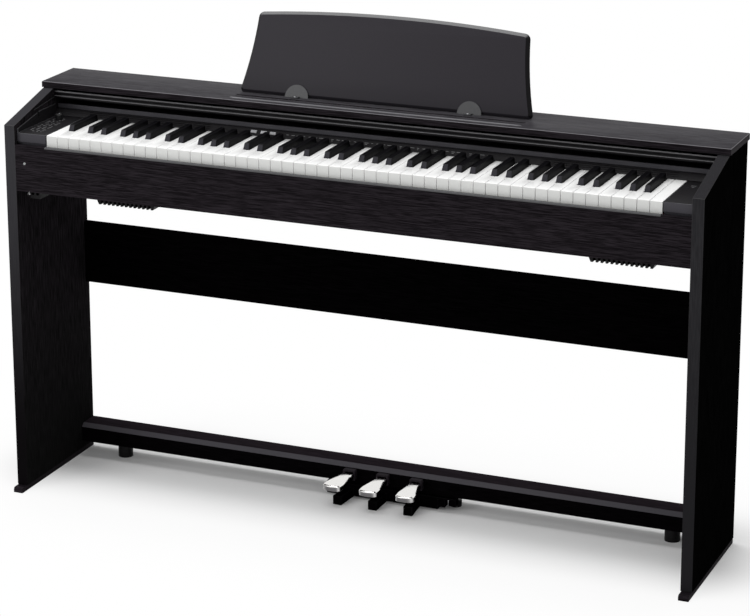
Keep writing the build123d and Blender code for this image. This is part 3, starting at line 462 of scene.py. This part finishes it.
# Pale grey for the cap on the front board, a painted highlight along its top edge.
slip_painted_highlight = moulded("key_slip_painted_highlight_grey", (0.085, 0.085, 0.088), 0.5, 0.1)
plastic_button = moulded("button_grey", (0.50, 0.50, 0.52), 0.4, 0.3)
plastic_power = moulded("power_button_grey", (0.05, 0.05, 0.053), 0.4, 0.2)
plastic_knob = moulded("knob_black", (0.012, 0.012, 0.013), 0.36, 0.3)
# The pedal housing is a darker copy of the black plastic, as painted shade under the rail,
# with a painted highlight on its edges.
plastic_housing = moulded(
    "housing_painted_shade_black", (0.0016, 0.0014, 0.0016), 0.6, 0.0, painted_shades=HOUSING_PAINTED_EDGE_HIGHLIGHT
)
collar_black = moulded("collar_grey", (0.018, 0.0145, 0.018), 0.5, 0.06)
rubber = moulded("rubber", (0.006, 0.006, 0.006), 0.75, 0.05, 600.0, 0.05)
disc_plastic = moulded("rest_disc_plastic", (0.052, 0.052, 0.055), 0.35, 0.3, 260.0, 0.12)
ink = moulded("printed_mark", (0.23, 0.23, 0.235), 0.6, 0.05)
print("plastics ready")

# %% Key tops
# Painted shade on the white keys' fronts, and painted light on the black keys' fronts with a
# painted highlight on their edges.
IVORY_FRONT_PAINTED_SHADE = {"front": (0.70, 0.705, 0.69)}
EBONY_PAINTED_LIGHT = {"front": (0.036, 0.035, 0.041), "corner": (0.03, 0.029, 0.033)}
ivory = moulded(
    "white_key_acrylic", (0.92, 0.92, 0.915), 0.25, 0.3, 350.0, 0.004, IVORY_FRONT_PAINTED_SHADE
)
ebony = moulded(
    "black_key_matt", (0.0022, 0.002, 0.0026), 0.42, 0.04, 800.0, 0.004, EBONY_PAINTED_LIGHT
)
print("key tops", ivory.name, ebony.name)

# %% [markdown]
# ## Metals, felt and the rest
#
# The pedals are polished and plated, with very faint wiping marks. Screws and
# brackets are zinc plated steel. Felt is soft and dull, a board is green with lacquer.
# A mirror needs something to mirror, and the white studio gives it little, so the
# plating is painted a little darker down its front and sides, as a painted reflection,
# and brighter on its top and corners, as painted highlights.


# %% Metals
def zinc_surface(tree, place):
    """Zinc plating with fine marks that run in no direction."""
    marks = noise(tree, place, (300.0,) * 3, detail=2.0)
    return {"Roughness": 0.32 + marks * 0.1, "Height": marks, "Depth": 0.01 * MM}


def pedal_surface(tree, place):
    """Polished plating with painted highlights on top and corners, darker down its sides."""
    marks = noise(tree, place, (160.0, 30.0, 160.0), detail=2.0)
    # Painted reflection: darker down the front; painted highlights on corners and on top.
    painted_dim_reflection = blend(tree, on_part(tree, "front"), (0.3, 0.29, 0.3), (0.2, 0.195, 0.2))
    corner = blend(tree, on_part(tree, "corner"), painted_dim_reflection, (0.86, 0.85, 0.84))
    colour = blend(tree, on_part(tree, "top"), corner, (0.80, 0.79, 0.77))
    rough = 0.1 + marks * 0.1
    return {"Base Color": colour, "Roughness": rough, "Height": marks, "Depth": 0.004 * MM}


zinc_constants = {"Base Color": opaque((0.55, 0.55, 0.56)), "Metallic": 1.0}
zinc = make_finish("zinc_plating", zinc_constants, zinc_surface)
chrome = make_finish("polished_plating", {"Metallic": 1.0}, pedal_surface)
print("metals", chrome.name, zinc.name)


# %% Felt, circuit board and lamp
def felt_surface(tree, place):
    fluff = noise(tree, place, (260.0,) * 3, detail=5.0, rough=0.75)
    colour = blend(tree, fluff, (0.10, 0.012, 0.012), (0.26, 0.03, 0.03))
    return {"Base Color": colour, "Height": fluff, "Depth": 0.3 * MM}


def board_surface(tree, place):
    copper = noise(tree, place, (240.0, 30.0, 10.0), detail=0.0)
    track = copper > 0.52
    colour = blend(tree, track, (0.006, 0.05, 0.018), (0.012, 0.11, 0.036))
    return {"Base Color": colour, "Height": track, "Depth": 0.03 * MM}


def lamp_surface(tree, place):
    milk = noise(tree, place, (500.0,) * 3, detail=1.0)
    colour = blend(tree, milk, (0.30, 0.31, 0.31), (0.42, 0.43, 0.43))
    return {"Base Color": colour, "Roughness": 0.2 + milk * 0.1}


felt = make_finish("red_felt", {"Roughness": 0.95, "Sheen Weight": 0.4}, felt_surface)
board_green = make_finish("board_lacquer", {"Roughness": 0.3}, board_surface)
lamp_clear = make_finish("lamp_lens", {"Transmission Weight": 0.2}, lamp_surface)
print("soft and small finishes", felt.name, board_green.name, lamp_clear.name)

# %% [markdown]
# ## The music rest
#
# The rest is one satin panel with a bevel all round. The bevel along the top gets a
# painted highlight, where it catches the light, and the ones at the sides are painted
# dark as shade. Three pieces with a finish each would show seams, so one finish asks
# which way the bevel faces.


# %% Music rest
def rest_surface(tree, place):
    """A satin face, a painted highlight on the top bevel, painted shade on the side bevels."""
    fine = noise(tree, place, (700.0,) * 3, detail=1.0)
    # Masks for the painted highlight on the top bevel and the painted shade on the side
    # bevels.
    up = ease(tree, facing(tree, Z), 0.45, 0.85)
    across = facing(tree, X)
    side = ease(tree, across * across, 0.1, 0.4)
    face = blend(tree, fine, (0.021, 0.0192, 0.0232), (0.0298, 0.0272, 0.0325))
    painted_rim_highlight = blend(tree, up, face, (0.15, 0.15, 0.153))
    colour = blend(tree, side, painted_rim_highlight, (0.0035, 0.003, 0.0038))
    rough = 0.4 + fine * 0.1
    return {"Base Color": colour, "Roughness": rough, "Height": fine, "Depth": 0.03 * MM}


rest_satin = make_finish("rest_satin", {"Specular IOR Level": 0.1}, rest_surface)
print("rest", rest_satin.name)

# %% [markdown]
# ## Rounded edges
#
# Every sheet of light on this black object lies along an edge, so the edges are worth
# the most work. A CAD solid has perfectly sharp ones. A copy of its mesh, merged and
# bevelled, stands in for it: the flat faces stay where they are, and only the corners
# are taken off, so nothing grows past its size. A bevel drawn in the shader would cost
# less, but it would leave the outline sharp.

# %% Dressing a CAD piece
FINISH_OF_SLOT = {
    "black_wood": wood_across,
    "black_plastic": plastic_black,
    "strip_plastic": plastic_strip,
    "white_key": ivory,
    "black_key": ebony,
    "pedal_chrome": chrome,
    "dark_collar": collar_black,
    "steel": zinc,
    "felt": felt,
    "rubber": rubber,
    "circuit": board_green,
    "disc": disc_plastic,
    "lamp": lamp_clear,
    "button": plastic_button,
}
FINISH_OF_NODE = {
    "top_board": wood_top,
    "left_side_panel": wood_upright,
    "right_side_panel": wood_upright,
    "lid_front_leaf": plastic_leaf,
    "lid_rear_leaf": plastic_leaf,
    "left_end_block": plastic_cheek,
    "right_end_block": plastic_cheek,
    "music_ledge": plastic_ledge,
    "pedal_housing": plastic_housing,
    "lid_handle": plastic_lid,
    "volume_knob": plastic_knob,
    "music_rest": rest_satin,
    "control_panel": plastic_fascia,
    "rear_panel": wood_rear,
    "pedal_rail": wood_rail,
    "power_button": plastic_power,
}
slot_of = {name: piece.material_slots[0].material.name for name, piece in nodes.items()}
body_of = {name: piece["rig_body"] for name, piece in nodes.items()}
finish_of = {
    name: FINISH_OF_NODE.get(name, FINISH_OF_SLOT[slot]) for name, slot in slot_of.items()
}
MERGE_REACH = 0.002 * MM
FLAT_ANGLE = math.radians(0.5)
BEVEL_ANGLE = math.radians(28)
SHARP_ANGLE = math.radians(20)


def settle(piece, body, finish=None, stands_for=()):
    """Gives a finished piece its finish, its body and the nodes it replaces."""
    if finish is not None:
        piece.data.materials.clear()
        piece.data.materials.append(finish)
    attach(piece, body)
    for node in stands_for:
        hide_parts(node)


def link_piece(name, mesh):
    """A new object at the origin with this mesh."""
    piece = bpy.data.objects.new(name, mesh)
    bpy.context.scene.collection.objects.link(piece)
    return piece


def bake_modifiers(piece):
    """Turns the modified shape into the piece's plain mesh, and drops the modifiers."""
    graph = bpy.context.evaluated_depsgraph_get()
    graph.update()
    mesh = bpy.data.meshes.new_from_object(piece.evaluated_get(graph), depsgraph=graph)
    piece.modifiers.clear()
    piece.data = mesh


def mesh_from(name, form):
    """A mesh with this name from a form, which is then let go."""
    mesh = bpy.data.meshes.new(name)
    form.to_mesh(mesh)
    form.free()
    return mesh


def merged_form(node, reach):
    """The CAD solids of a node as a form, with their doubled corners merged."""
    form = bmesh.new()
    form.from_mesh(nodes[node].data)
    bmesh.ops.remove_doubles(form, verts=form.verts, dist=reach)
    return form


def dress(node, edge):
    """Makes a copy of a CAD node with rounded edges, which then stands for the node."""
    form = merged_form(node, MERGE_REACH)
    bmesh.ops.dissolve_limit(form, angle_limit=FLAT_ANGLE, verts=form.verts, edges=form.edges)
    piece = link_piece(node + "_rounded", mesh_from(node + "_rounded", form))
    bevel = piece.modifiers.new("rounded edges", "BEVEL")
    bevel.width = edge * MM
    bevel.segments = 2
    bevel.limit_method = "ANGLE"
    bevel.angle_limit = BEVEL_ANGLE
    bake_modifiers(piece)
    piece.data.shade_smooth()
    piece.data.set_sharp_from_angle(angle=SHARP_ANGLE)
    settle(piece, body_of[node], finish_of[node], (node,))


print("slots in use", sorted(set(slot_of.values())))

# %% Round the boards, the keys and the fittings
EDGES = {
    "top_board": 1.2,
    "left_side_panel": 0.8,
    "right_side_panel": 0.8,
    "front_board": 0.8,
    "cabinet_back": 0.5,
    "rear_panel": 0.6,
    "left_end_block": 1.0,
    "right_end_block": 1.0,
    "control_panel": 0.6,
    "panel_trim": 0.8,
    "lid_front_leaf": 0.6,
    "lid_rear_leaf": 0.6,
    "music_rest": 0.8,
    "pedal_rail": 0.8,
    "pedal_housing": 0.6,
    "pedal_collars": 0.8,
    "foot_skids": 1.0,
    "headphone_box": 0.6,
    "speaker_grilles": 0.5,
    "left_pedal": 0.9,
    "middle_pedal": 0.9,
    "right_pedal": 0.9,
    "power_button": 0.4,
    "metronome_button": 0.3,
    "transpose_button": 0.3,
    "voice_button": 0.3,
}
KEY_EDGES = {"white_key": 0.5, "black_key": 0.9}
for node in nodes:
    if slot_of[node] in KEY_EDGES:
        EDGES[node] = KEY_EDGES[slot_of[node]]
for node, edge in EDGES.items():
    dress(node, edge)
print("rounded", len(EDGES), "nodes")

# %% [markdown]
# ## Strips with a profile
#
# The lid's handle is one moulding with a nose and a bead, which with a painted highlight
# on their upward faces make the two pale lines above the keys. It stands for the plain
# bar of the CAD. A soft grey strip caps the front board, and its pale grey is a painted
# highlight along the board's top edge. Dark cloth lies behind the slots of each
# speaker's cover.
# Each has the same section from end to end, so an outline drawn along x is enough,
# and sculpting or a curve with a bevel would only hide its sizes.


# %% Profiled strips
def profiled(name, outline, x_span):
    """A strip along x with this (y, z) outline in millimetres."""
    count = len(outline)
    places = [(x * MM, y * MM, z * MM) for x in x_span for y, z in outline]
    faces = [tuple(range(count)), tuple(range(count, 2 * count))]
    for index in range(count):
        after = (index + 1) % count
        faces.append((index, after, count + after, count + index))
    form = bmesh.new()
    points = [form.verts.new(place) for place in places]
    for face in faces:
        form.faces.new([points[index] for index in face])
    bmesh.ops.recalc_face_normals(form, faces=form.faces)
    mesh = mesh_from(name, form)
    mesh.shade_smooth()
    mesh.set_sharp_from_angle(angle=math.radians(50))
    return link_piece(name, mesh)


def span_mm(node, axis):
    """How far a CAD node reaches along an axis, in millimetres."""
    low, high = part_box(node)
    return low[axis] / MM, high[axis] / MM


print("front board spans", [round(v, 1) for v in span_mm("front_board", X)], "mm")

# %% Handle of the lid
HANDLE_NOSE = [(3.2, 14.0), (2.0, 13.9), (0.9, 13.3), (0.2, 12.4), (0.0, 11.4), (0.3, 10.4)]
HANDLE_COVE = [(1.4, 9.4), (2.5, 8.6), (2.9, 7.2), (2.7, 5.8)]
HANDLE_BEAD = [(1.5, 4.8), (0.7, 4.0), (0.4, 2.9), (0.6, 1.7), (1.3, 0.7), (2.4, 0.1)]
HANDLE_BACK = [(6.0, 0.0), (6.0, 14.0)]
HANDLE = "lid_handle"
handle_y = span_mm(HANDLE, Y)[0]
handle_z = span_mm(HANDLE, Z)[0]
handle_points = HANDLE_NOSE + HANDLE_COVE + HANDLE_BEAD + HANDLE_BACK
handle_outline = [(handle_y + y, handle_z + z) for y, z in handle_points]
handle = profiled("lid_handle_moulding", handle_outline, span_mm(HANDLE, X))
# The handle's finish paints a highlight on its faces that point up.
settle(handle, body_of[HANDLE], finish_of[HANDLE], (HANDLE,))
print("handle with", len(handle_outline), "corners round its profile")

# %% Cap of the front board
SLIP_PROUD = 0.4
SLIP_DROP = 2.4
SLIP_BACK = 7.4
board_y = span_mm("front_board", Y)[0]
board_z = span_mm("front_board", Z)[1]
keys_x = (span_mm("low_white_keys", X)[0], span_mm("high_white_keys", X)[1])
slip_outline = [
    (board_y - SLIP_PROUD, board_z - SLIP_DROP),
    (board_y - SLIP_PROUD, board_z),
    (board_y, board_z + SLIP_PROUD),
    (board_y + SLIP_BACK, board_z + SLIP_PROUD),
    (board_y + SLIP_BACK, board_z - SLIP_PROUD),
    (board_y + SLIP_PROUD, board_z - SLIP_DROP),
]
slip = profiled("key_slip_cap", slip_outline, keys_x)
# The cap's grey is a painted highlight along the top edge of the front board.
settle(slip, "cabinet", slip_painted_highlight)
print("cap from", [round(x, 1) for x in keys_x], "mm")

# %% Cloth of the speakers
CLOTH = 0.6
CLOTH_RISE = 14.0
CLOTH_INSET = 25.0
COVER_WALL = 2.7
COVER_WIDTH = 162.0
cover_y = span_mm("speaker_grilles", Y)
cover_z = span_mm("speaker_grilles", Z)[0] + COVER_WALL
cover_x = span_mm("speaker_grilles", X)[1]
cloth_outline = [
    (cover_y[0] + COVER_WALL, cover_z),
    (cover_y[0] + COVER_WALL, cover_z + CLOTH_RISE),
    (cover_y[0] + COVER_WALL + CLOTH, cover_z + CLOTH_RISE),
    (cover_y[0] + COVER_WALL + CLOTH, cover_z + CLOTH),
    (cover_y[1] - COVER_WALL, cover_z + CLOTH),
    (cover_y[1] - COVER_WALL, cover_z),
]
outer_x = cover_x - CLOTH_INSET
inner_x = cover_x - COVER_WIDTH + CLOTH_INSET
for side, name in ((-1, "left_speaker_cloth"), (1, "right_speaker_cloth")):
    cloth = profiled(name, cloth_outline, sorted((side * outer_x, side * inner_x)))
    settle(cloth, "cabinet", cloth_and_groove_shade)
print("two speaker cloths", round(outer_x - inner_x), "mm wide")

# %% [markdown]
# ## Small things that repeat
#
# Louvres, printed ticks, ribs and screw recesses are the same small form many times.
# Copies placed by hand would each be an object to keep in step. Here the places are
# plain points. A Geometry Nodes tree puts one bar or one disc on each point, turned and
# stretched by what the point carries, and joins them into a mesh.


# %% A tree that repeats a form
def repeating_tree(name, round_form):
    """A tree that puts a bar or a disc on every point."""
    group = bpy.data.node_groups.new(name, "GeometryNodeTree")
    group.interface.new_socket("Geometry", in_out="OUTPUT", socket_type="NodeSocketGeometry")
    for label, kind in (("Geometry", "Geometry"), ("Size", "Vector"), ("Finish", "Material")):
        group.interface.new_socket(label, in_out="INPUT", socket_type="NodeSocket" + kind)
    tree = Tree(group)
    given = group.nodes.new("NodeGroupInput")
    wires = {socket.name: Wire(group, socket) for socket in given.outputs if socket.name}
    if round_form:
        radius = part_of(tree, wires["Size"], X) * 0.5
        sockets = {"Vertices": 32, "Radius": radius, "Depth": part_of(tree, wires["Size"], Z)}
        form = tree.add("GeometryNodeMeshCylinder", sockets=sockets)
    else:
        form = tree.add("GeometryNodeMeshCube", sockets={"Size": wires["Size"]})
    vector = {"data_type": "FLOAT_VECTOR"}
    turn = tree.add("GeometryNodeInputNamedAttribute", vector, {"Name": "turn"})
    stretch = tree.add("GeometryNodeInputNamedAttribute", vector, {"Name": "stretch"})
    rotation = tree.add("FunctionNodeEulerToRotation", sockets={"Euler": turn})
    sockets = {"Points": wires["Geometry"], "Instance": form}
    sockets.update({"Rotation": rotation, "Scale": stretch})
    spread = tree.add("GeometryNodeInstanceOnPoints", sockets=sockets)
    joined = tree.add("GeometryNodeRealizeInstances", sockets={"Geometry": spread})
    painted = {"Geometry": joined, "Material": wires["Finish"]}
    result = tree.add("GeometryNodeSetMaterial", sockets=painted)
    end = group.nodes.new("NodeGroupOutput")
    group.links.new(result.socket, end.inputs["Geometry"])
    return group


bars = repeating_tree("bars_on_points", False)
discs = repeating_tree("discs_on_points", True)
UNTURNED, UNSTRETCHED = (0, 0, 0), (1, 1, 1)


def repeat(name, group, places, size, finish, node):
    """One form of this size in mm on many places, on the body of a CAD node.

    A place is a point in mm, then its turn and its stretch if it has them.
    """
    mesh = bpy.data.meshes.new(name)
    points = [[v * MM for v in place[0]] for place in places]
    turns = [place[1] if len(place) > 1 else UNTURNED for place in places]
    stretches = [place[2] if len(place) > 2 else UNSTRETCHED for place in places]
    mesh.from_pydata(points, [], [])
    for label, rows in (("turn", turns), ("stretch", stretches)):
        carried = mesh.attributes.new(label, "FLOAT_VECTOR", "POINT")
        carried.data.foreach_set("vector", [float(v) for row in rows for v in row])
    piece = link_piece(name, mesh)
    repeater = piece.modifiers.new("repeat", "NODES")
    repeater.node_group = group
    values = {"Size": [v * MM for v in size], "Finish": finish}
    for item in group.interface.items_tree:
        if item.name in values:
            repeater[item.identifier] = values[item.name]
    bake_modifiers(piece)
    settle(piece, body_of[node])


print("trees", bars.name, discs.name)

# %% [markdown]
# ## Louvres and printed marks
#
# The control panel leans back, so what lies on it is placed by how far up its slope it
# is. Three louvres at each end are thin bars, half sunk into the slope, and their dark
# colour is painted shade, the shade inside a groove. Words are left out, and plain
# ticks of uneven width stand for them on the panel and the cheeks.
# The ticks could be painted in the finish, but bars also show in the plain meshes.

# %% Louvres and marks on the control panel
FASCIA = "control_panel"
FASCIA_DEPTH = 12.0
FASCIA_RISE = 11.5
LOUVRE_X = 466.5
LOUVRE_SIZE = (263, 0.9, 0.24)
LOUVRE_SHARES = (0.3, 0.55, 0.8)
MARK_START, MARK_STEP, MARK_COUNT = -184.0, 11.6, 37
MARK_SIZE = (7, 1.1, 0.08)
UPPER_ROW, LOWER_ROW = 0.52, 0.34
slope = math.atan2(FASCIA_RISE, FASCIA_DEPTH)
fascia_y = span_mm(FASCIA, Y)[0]
fascia_z = span_mm(FASCIA, Z)[0]


def on_fascia(x, share):
    """A point on the sloping fascia, by its x and its share of the slope, and its turn."""
    point = (x, fascia_y + FASCIA_DEPTH * share, fascia_z + FASCIA_RISE * share)
    return point, (slope, 0, 0)


louvres = [on_fascia(side * LOUVRE_X, share) for side in (-1, 1) for share in LOUVRE_SHARES]
# The louvres' near black is painted shade inside the grooves.
repeat("fascia_louvres", bars, louvres, LOUVRE_SIZE, cloth_and_groove_shade, FASCIA)
marks = []
for index in range(MARK_COUNT):
    mark_x = MARK_START + index * MARK_STEP
    wide = 0.5 + (index * 5 % 4) * 0.22
    marks.append((*on_fascia(mark_x, UPPER_ROW), (wide, 1, 1)))
    if index % 3 == 0:
        marks.append((*on_fascia(mark_x, LOWER_ROW), (wide * 0.6, 1, 1)))
repeat("fascia_marks", bars, marks, MARK_SIZE, ink, FASCIA)
print("fascia:", len(louvres), "louvres and", len(marks), "marks")


# %% Marks on the cheeks
def middle_mm(node):
    """The middle of a CAD node, in millimetres."""
    low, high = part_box(node)
    return [(a + b) / 2 / MM for a, b in zip(low, high)]


def around(middle, radius, z, turns):
    """Places on a circle at one height, each turned to face outwards."""
    places = []
    for turn in turns:
        x = middle[X] + radius * math.cos(turn)
        y = middle[Y] + radius * math.sin(turn)
        places.append(((x, y, z), (0, 0, turn)))
    return places


CHEEK = "left_end_block"
CHEEK_CORNER = (-657, -98)
CHEEK_ROWS, CHEEK_COLUMNS = 12, 4
CHEEK_STEP = (8.5, 7.2)
CHEEK_MARK_SIZE = (4.4, 1.8, 0.1)
KNOB_TICKS = [math.radians(-50 + step * 35) for step in range(9)]
KNOB_TICK_GAP = 3.5
POWER_MARK_GAP = 4
cheek_z = span_mm("high_white_keys", Z)[1]
cheek_marks = []
for row in range(CHEEK_ROWS):
    for column in range(CHEEK_COLUMNS):
        if (row * 3 + column * 5) % 4:
            wide = 0.5 + (row + 2 * column) % 3 * 0.3
            mark_x = CHEEK_CORNER[X] + column * CHEEK_STEP[X]
            mark_y = CHEEK_CORNER[Y] + row * CHEEK_STEP[Y]
            cheek_marks.append(((mark_x, mark_y, cheek_z), (0, 0, 0.1 * column), (wide, 1, 1)))
knob_middle = middle_mm("volume_knob")
knob_radius = (span_mm("volume_knob", X)[1] - span_mm("volume_knob", X)[0]) / 2
for place in around(knob_middle, knob_radius + KNOB_TICK_GAP, cheek_z, KNOB_TICKS):
    cheek_marks.append((*place, (0.6, 1, 1)))
repeat("cheek_marks", bars, cheek_marks, CHEEK_MARK_SIZE, ink, CHEEK)
power_mark_y = span_mm("power_button", Y)[0] - POWER_MARK_GAP
power_mark = (middle_mm("power_button")[X], power_mark_y, cheek_z)
repeat("power_mark", bars, [(power_mark,)], (5, 1.0, 0.08), ink, CHEEK)
print("cheek marks", len(cheek_marks) + 1)

# %% [markdown]
# ## Ribs
#
# The volume knob and the screw foot under the pedal rail are turned with the fingers,
# so both are ribbed. A bump could suggest the ribs, but the outline of a ribbed knob is
# toothed, so they are real bars in a ring, sunk into the round body.

# %% Ribs on the knob and the foot
KNOB = "volume_knob"
KNOB_RIBS = 24
KNOB_RIB = (0.5, 0.7, 7.0)
KNOB_RIB_DROP = 1.0
knob_top = span_mm(KNOB, Z)[1]
knob_rib_z = knob_top - KNOB_RIB_DROP - KNOB_RIB[Z] / 2
knob_turns = [math.tau * step / KNOB_RIBS for step in range(KNOB_RIBS)]
knob_ribs = around(knob_middle, knob_radius, knob_rib_z, knob_turns)
repeat("knob_ribs", bars, knob_ribs, KNOB_RIB, plastic_knob, KNOB)
pointer = (knob_middle[X], knob_middle[Y] + knob_radius * 0.55, knob_top)
pointer_size = (1.0, knob_radius * 0.8, 0.12)
repeat("knob_pointer", bars, [(pointer,)], pointer_size, plastic_button, KNOB)

FOOT = "pedal_adjuster"
FOOT_RIBS = 30
FOOT_RIB = (0.6, 1.3, 9.0)
FOOT_RIB_SUNK = 0.15
FOOT_RIB_Z = 7.0
foot_radius = (span_mm(FOOT, X)[1] - span_mm(FOOT, X)[0]) / 2 - FOOT_RIB_SUNK
foot_turns = [math.tau * step / FOOT_RIBS for step in range(FOOT_RIBS)]
foot_ribs = around(middle_mm(FOOT), foot_radius, FOOT_RIB_Z, foot_turns)
repeat("adjuster_ribs", bars, foot_ribs, FOOT_RIB, rubber, FOOT)
print("ribs", len(knob_ribs) + len(foot_ribs))

# %% [markdown]
# ## Screws and peg caps
#
# The screws of the CAD are plain heads. A cross of two thin dark bars on each head
# makes it a cross-head screw: the bars are painted shade standing for the recess, where
# cutting the recess out would take many more faces.
# The heads share one node, so its separate solids are found first, by walking along
# edges from corner to corner. Two rows of screws hold the cabinet's back, and a small
# cap closes each peg of the music rest.


# %% Recesses of the assembly screws
def solid_boxes(node):
    """The lowest and highest corner of each separate solid of a node, in millimetres."""
    form = merged_form(node, 0.01 * MM)
    waiting = set(form.verts)
    boxes = []
    while waiting:
        heap = [waiting.pop()]
        found = list(heap)
        while heap:
            for edge in heap.pop().link_edges:
                fresh = [vert for vert in edge.verts if vert in waiting]
                waiting.difference_update(fresh)
                heap.extend(fresh)
                found.extend(fresh)
        low = [min(vert.co[axis] for vert in found) / MM for axis in (X, Y, Z)]
        high = [max(vert.co[axis] for vert in found) / MM for axis in (X, Y, Z)]
        boxes.append((low, high))
    form.free()
    return sorted(boxes)


SCREWS = "assembly_screws"
RECESS_SIZE = (4.4, 1.1, 0.3)
QUARTER = math.pi / 2
screw_boxes = solid_boxes(SCREWS)
recesses = []
for low, high in screw_boxes:
    middle = [(a + b) / 2 for a, b in zip(low, high)]
    lies_across = high[X] - low[X] < high[Z] - low[Z]
    if lies_across:
        middle[X] = high[X] if middle[X] < 0 else low[X]
        turns = ((0, QUARTER, 0), (QUARTER, QUARTER, 0))
    else:
        middle[Z] = low[Z]
        turns = ((0, 0, 0), (0, 0, QUARTER))
    recesses.extend((middle, turned) for turned in turns)
# Dark bars as painted shade of the cross recesses.
repeat("screw_recesses", bars, recesses, RECESS_SIZE, cloth_and_groove_shade, SCREWS)
print("assembly screws", len(screw_boxes))

# %% Screws of the back and peg caps
BACK_ROWS = (627.0, 776.0)
BACK_COLUMNS = (-655, -440, -220, 0, 220, 440, 655)
BACK_HEAD = (7.5, 7.5, 1.0)
BACK_HEAD_OUT = 0.2
BACK_RECESS = (4.4, 1.0, 0.2)
BACK_RECESS_OUT = 0.7
back_y = span_mm("cabinet_back", Y)[1]
back_screws = []
back_recesses = []
for x in BACK_COLUMNS:
    for z in BACK_ROWS:
        back_screws.append(((x, back_y + BACK_HEAD_OUT, z), (QUARTER, 0, 0)))
        for turned in ((QUARTER, 0, 0), (QUARTER, QUARTER, 0)):
            back_recesses.append(((x, back_y + BACK_RECESS_OUT, z), turned))
repeat("back_screws", discs, back_screws, BACK_HEAD, zinc, SCREWS)
# Dark bars as painted shade of the cross recesses.
repeat("back_screw_recesses", bars, back_recesses, BACK_RECESS, cloth_and_groove_shade, SCREWS)

DISCS = "music_rest_discs"
DISC_RADIUS = 24.0
DISC_SOLE_Z = 801.0
PEG_CAP_SIZE = (3.2, 3.2, 1.6)
PEG_CAP_IN = 4.0
disc_x = span_mm(DISCS, X)[1] - DISC_RADIUS
cap_y = span_mm(DISCS, Y)[0] + PEG_CAP_IN
caps = [((side * disc_x, cap_y, DISC_SOLE_Z),) for side in (-1, 1)]
repeat("peg_caps", discs, caps, PEG_CAP_SIZE, plastic_button, DISCS)
print("back screws", len(back_screws), "and caps", len(caps))

# %% [markdown]
# ## The pieces that stay
#
# What is hidden, round already, or too small for its edges to show keeps the mesh of
# the CAD. Only its finish changes. Rounding those too would add faces and no looks.

# %% Finish the CAD pieces that stay
stay = [node for node in nodes if node not in EDGES and node != HANDLE]
for node in stay:
    for material_slot in nodes[node].material_slots:
        material_slot.material = finish_of[node]
print("kept", len(stay), "nodes as they are")

# %% [markdown]
# ## Floor, background and light
#
# The piano stands on a pale floor before a white background. The world lights it
# evenly and softly, and is white where the camera or a reflection sees it. One large
# lamp overhead gives the tops of the keys their light and the floor its shadow, and a
# weaker one at the left front lights the boards that face it. A floor that goes on
# for ever would show a horizon, so away from the piano the floor fades to pure white.

# %% Floor
FLOOR_HALF = 12.0
SHADOW_HALF = (0.66, 0.06)
SHADOW_Y = 0.1
floor_form = bmesh.new()
corners = [(-1, -1), (1, -1), (1, 1), (-1, 1)]
floor_places = [(x * FLOOR_HALF, y * FLOOR_HALF, 0) for x, y in corners]
floor_form.faces.new([floor_form.verts.new(place) for place in floor_places])
floor_mesh = mesh_from("studio_floor", floor_form)
floor = link_piece("studio_floor", floor_mesh)

floor_paint = bpy.data.materials.new("pale_floor")
floor_paint.use_nodes = True
floor_paint.node_tree.nodes.clear()
paint = Tree(floor_paint.node_tree)
spot = paint.add("ShaderNodeTexCoord", output="Object")
past_x = size_of(part_of(paint, spot, X)) - SHADOW_HALF[X]
past_y = size_of(part_of(paint, spot, Y) - SHADOW_Y) - SHADOW_HALF[Y]
past_x, past_y = larger(past_x, 0.0), larger(past_y, 0.0)
away = maths("SQRT", past_x * past_x + past_y * past_y)
fade = ease(paint, away, -0.02, 0.2) * 0.88 + ease(paint, away, 0.16, 0.5) * 0.12
speck = noise(paint, spot, (40.0,) * 3, detail=2.0)
pale = blend(paint, speck, 0.93, 0.95)
lit = paint.add("ShaderNodeBsdfDiffuse", sockets={"Color": pale})
clean = paint.add("ShaderNodeEmission", sockets={"Color": opaque(1.0), "Strength": 1.0})
seen_floor = paint.add("ShaderNodeLightPath", output="Is Camera Ray")
floor_mix = paint.add("ShaderNodeMixShader", sockets={0: seen_floor * fade, 1: lit, 2: clean})
paint.add("ShaderNodeOutputMaterial", sockets={"Surface": floor_mix})
floor_mesh.materials.append(floor_paint)
print("floor", 2 * FLOOR_HALF, "m square")

# %% World and lamps
AMBIENT = 0.5
world = bpy.data.worlds.new("studio_world")
bpy.context.scene.world = world
world.use_nodes = True
world.node_tree.nodes.clear()
sky = Tree(world.node_tree)
seen = sky.add("ShaderNodeLightPath", output="Is Camera Ray")
mirrored = sky.add("ShaderNodeLightPath", output="Is Glossy Ray")
through = sky.add("ShaderNodeLightPath", output="Is Transmission Ray")
shown = larger(seen, larger(mirrored, through))
soft = sky.add("ShaderNodeBackground", sockets={"Color": opaque(1.0), "Strength": AMBIENT})
white = sky.add("ShaderNodeBackground", sockets={"Color": opaque(1.0), "Strength": 1.0})
mixed = sky.add("ShaderNodeMixShader", sockets={0: shown, 1: soft, 2: white})
sky.add("ShaderNodeOutputWorld", sockets={"Surface": mixed})

LAMP_AIM = Vector((0, 0, 0.4))


def area_lamp(name, place, size, power):
    """A soft square lamp that points at the middle of the piano."""
    lamp = bpy.data.lights.new(name, "AREA")
    lamp.shape = "SQUARE"
    lamp.size = size
    lamp.energy = power
    fixture = bpy.data.objects.new(name, lamp)
    bpy.context.scene.collection.objects.link(fixture)
    fixture.location = place
    fixture.rotation_euler = (LAMP_AIM - Vector(place)).to_track_quat("-Z", "Y").to_euler()


area_lamp("overhead_lamp", (-0.4, 0.0, 4.2), size=3.2, power=120)
area_lamp("front_lamp", (-3.2, -4.2, 2.2), size=2.4, power=70)
bpy.context.scene.view_settings.view_transform = "Standard"
print("world and two lamps")
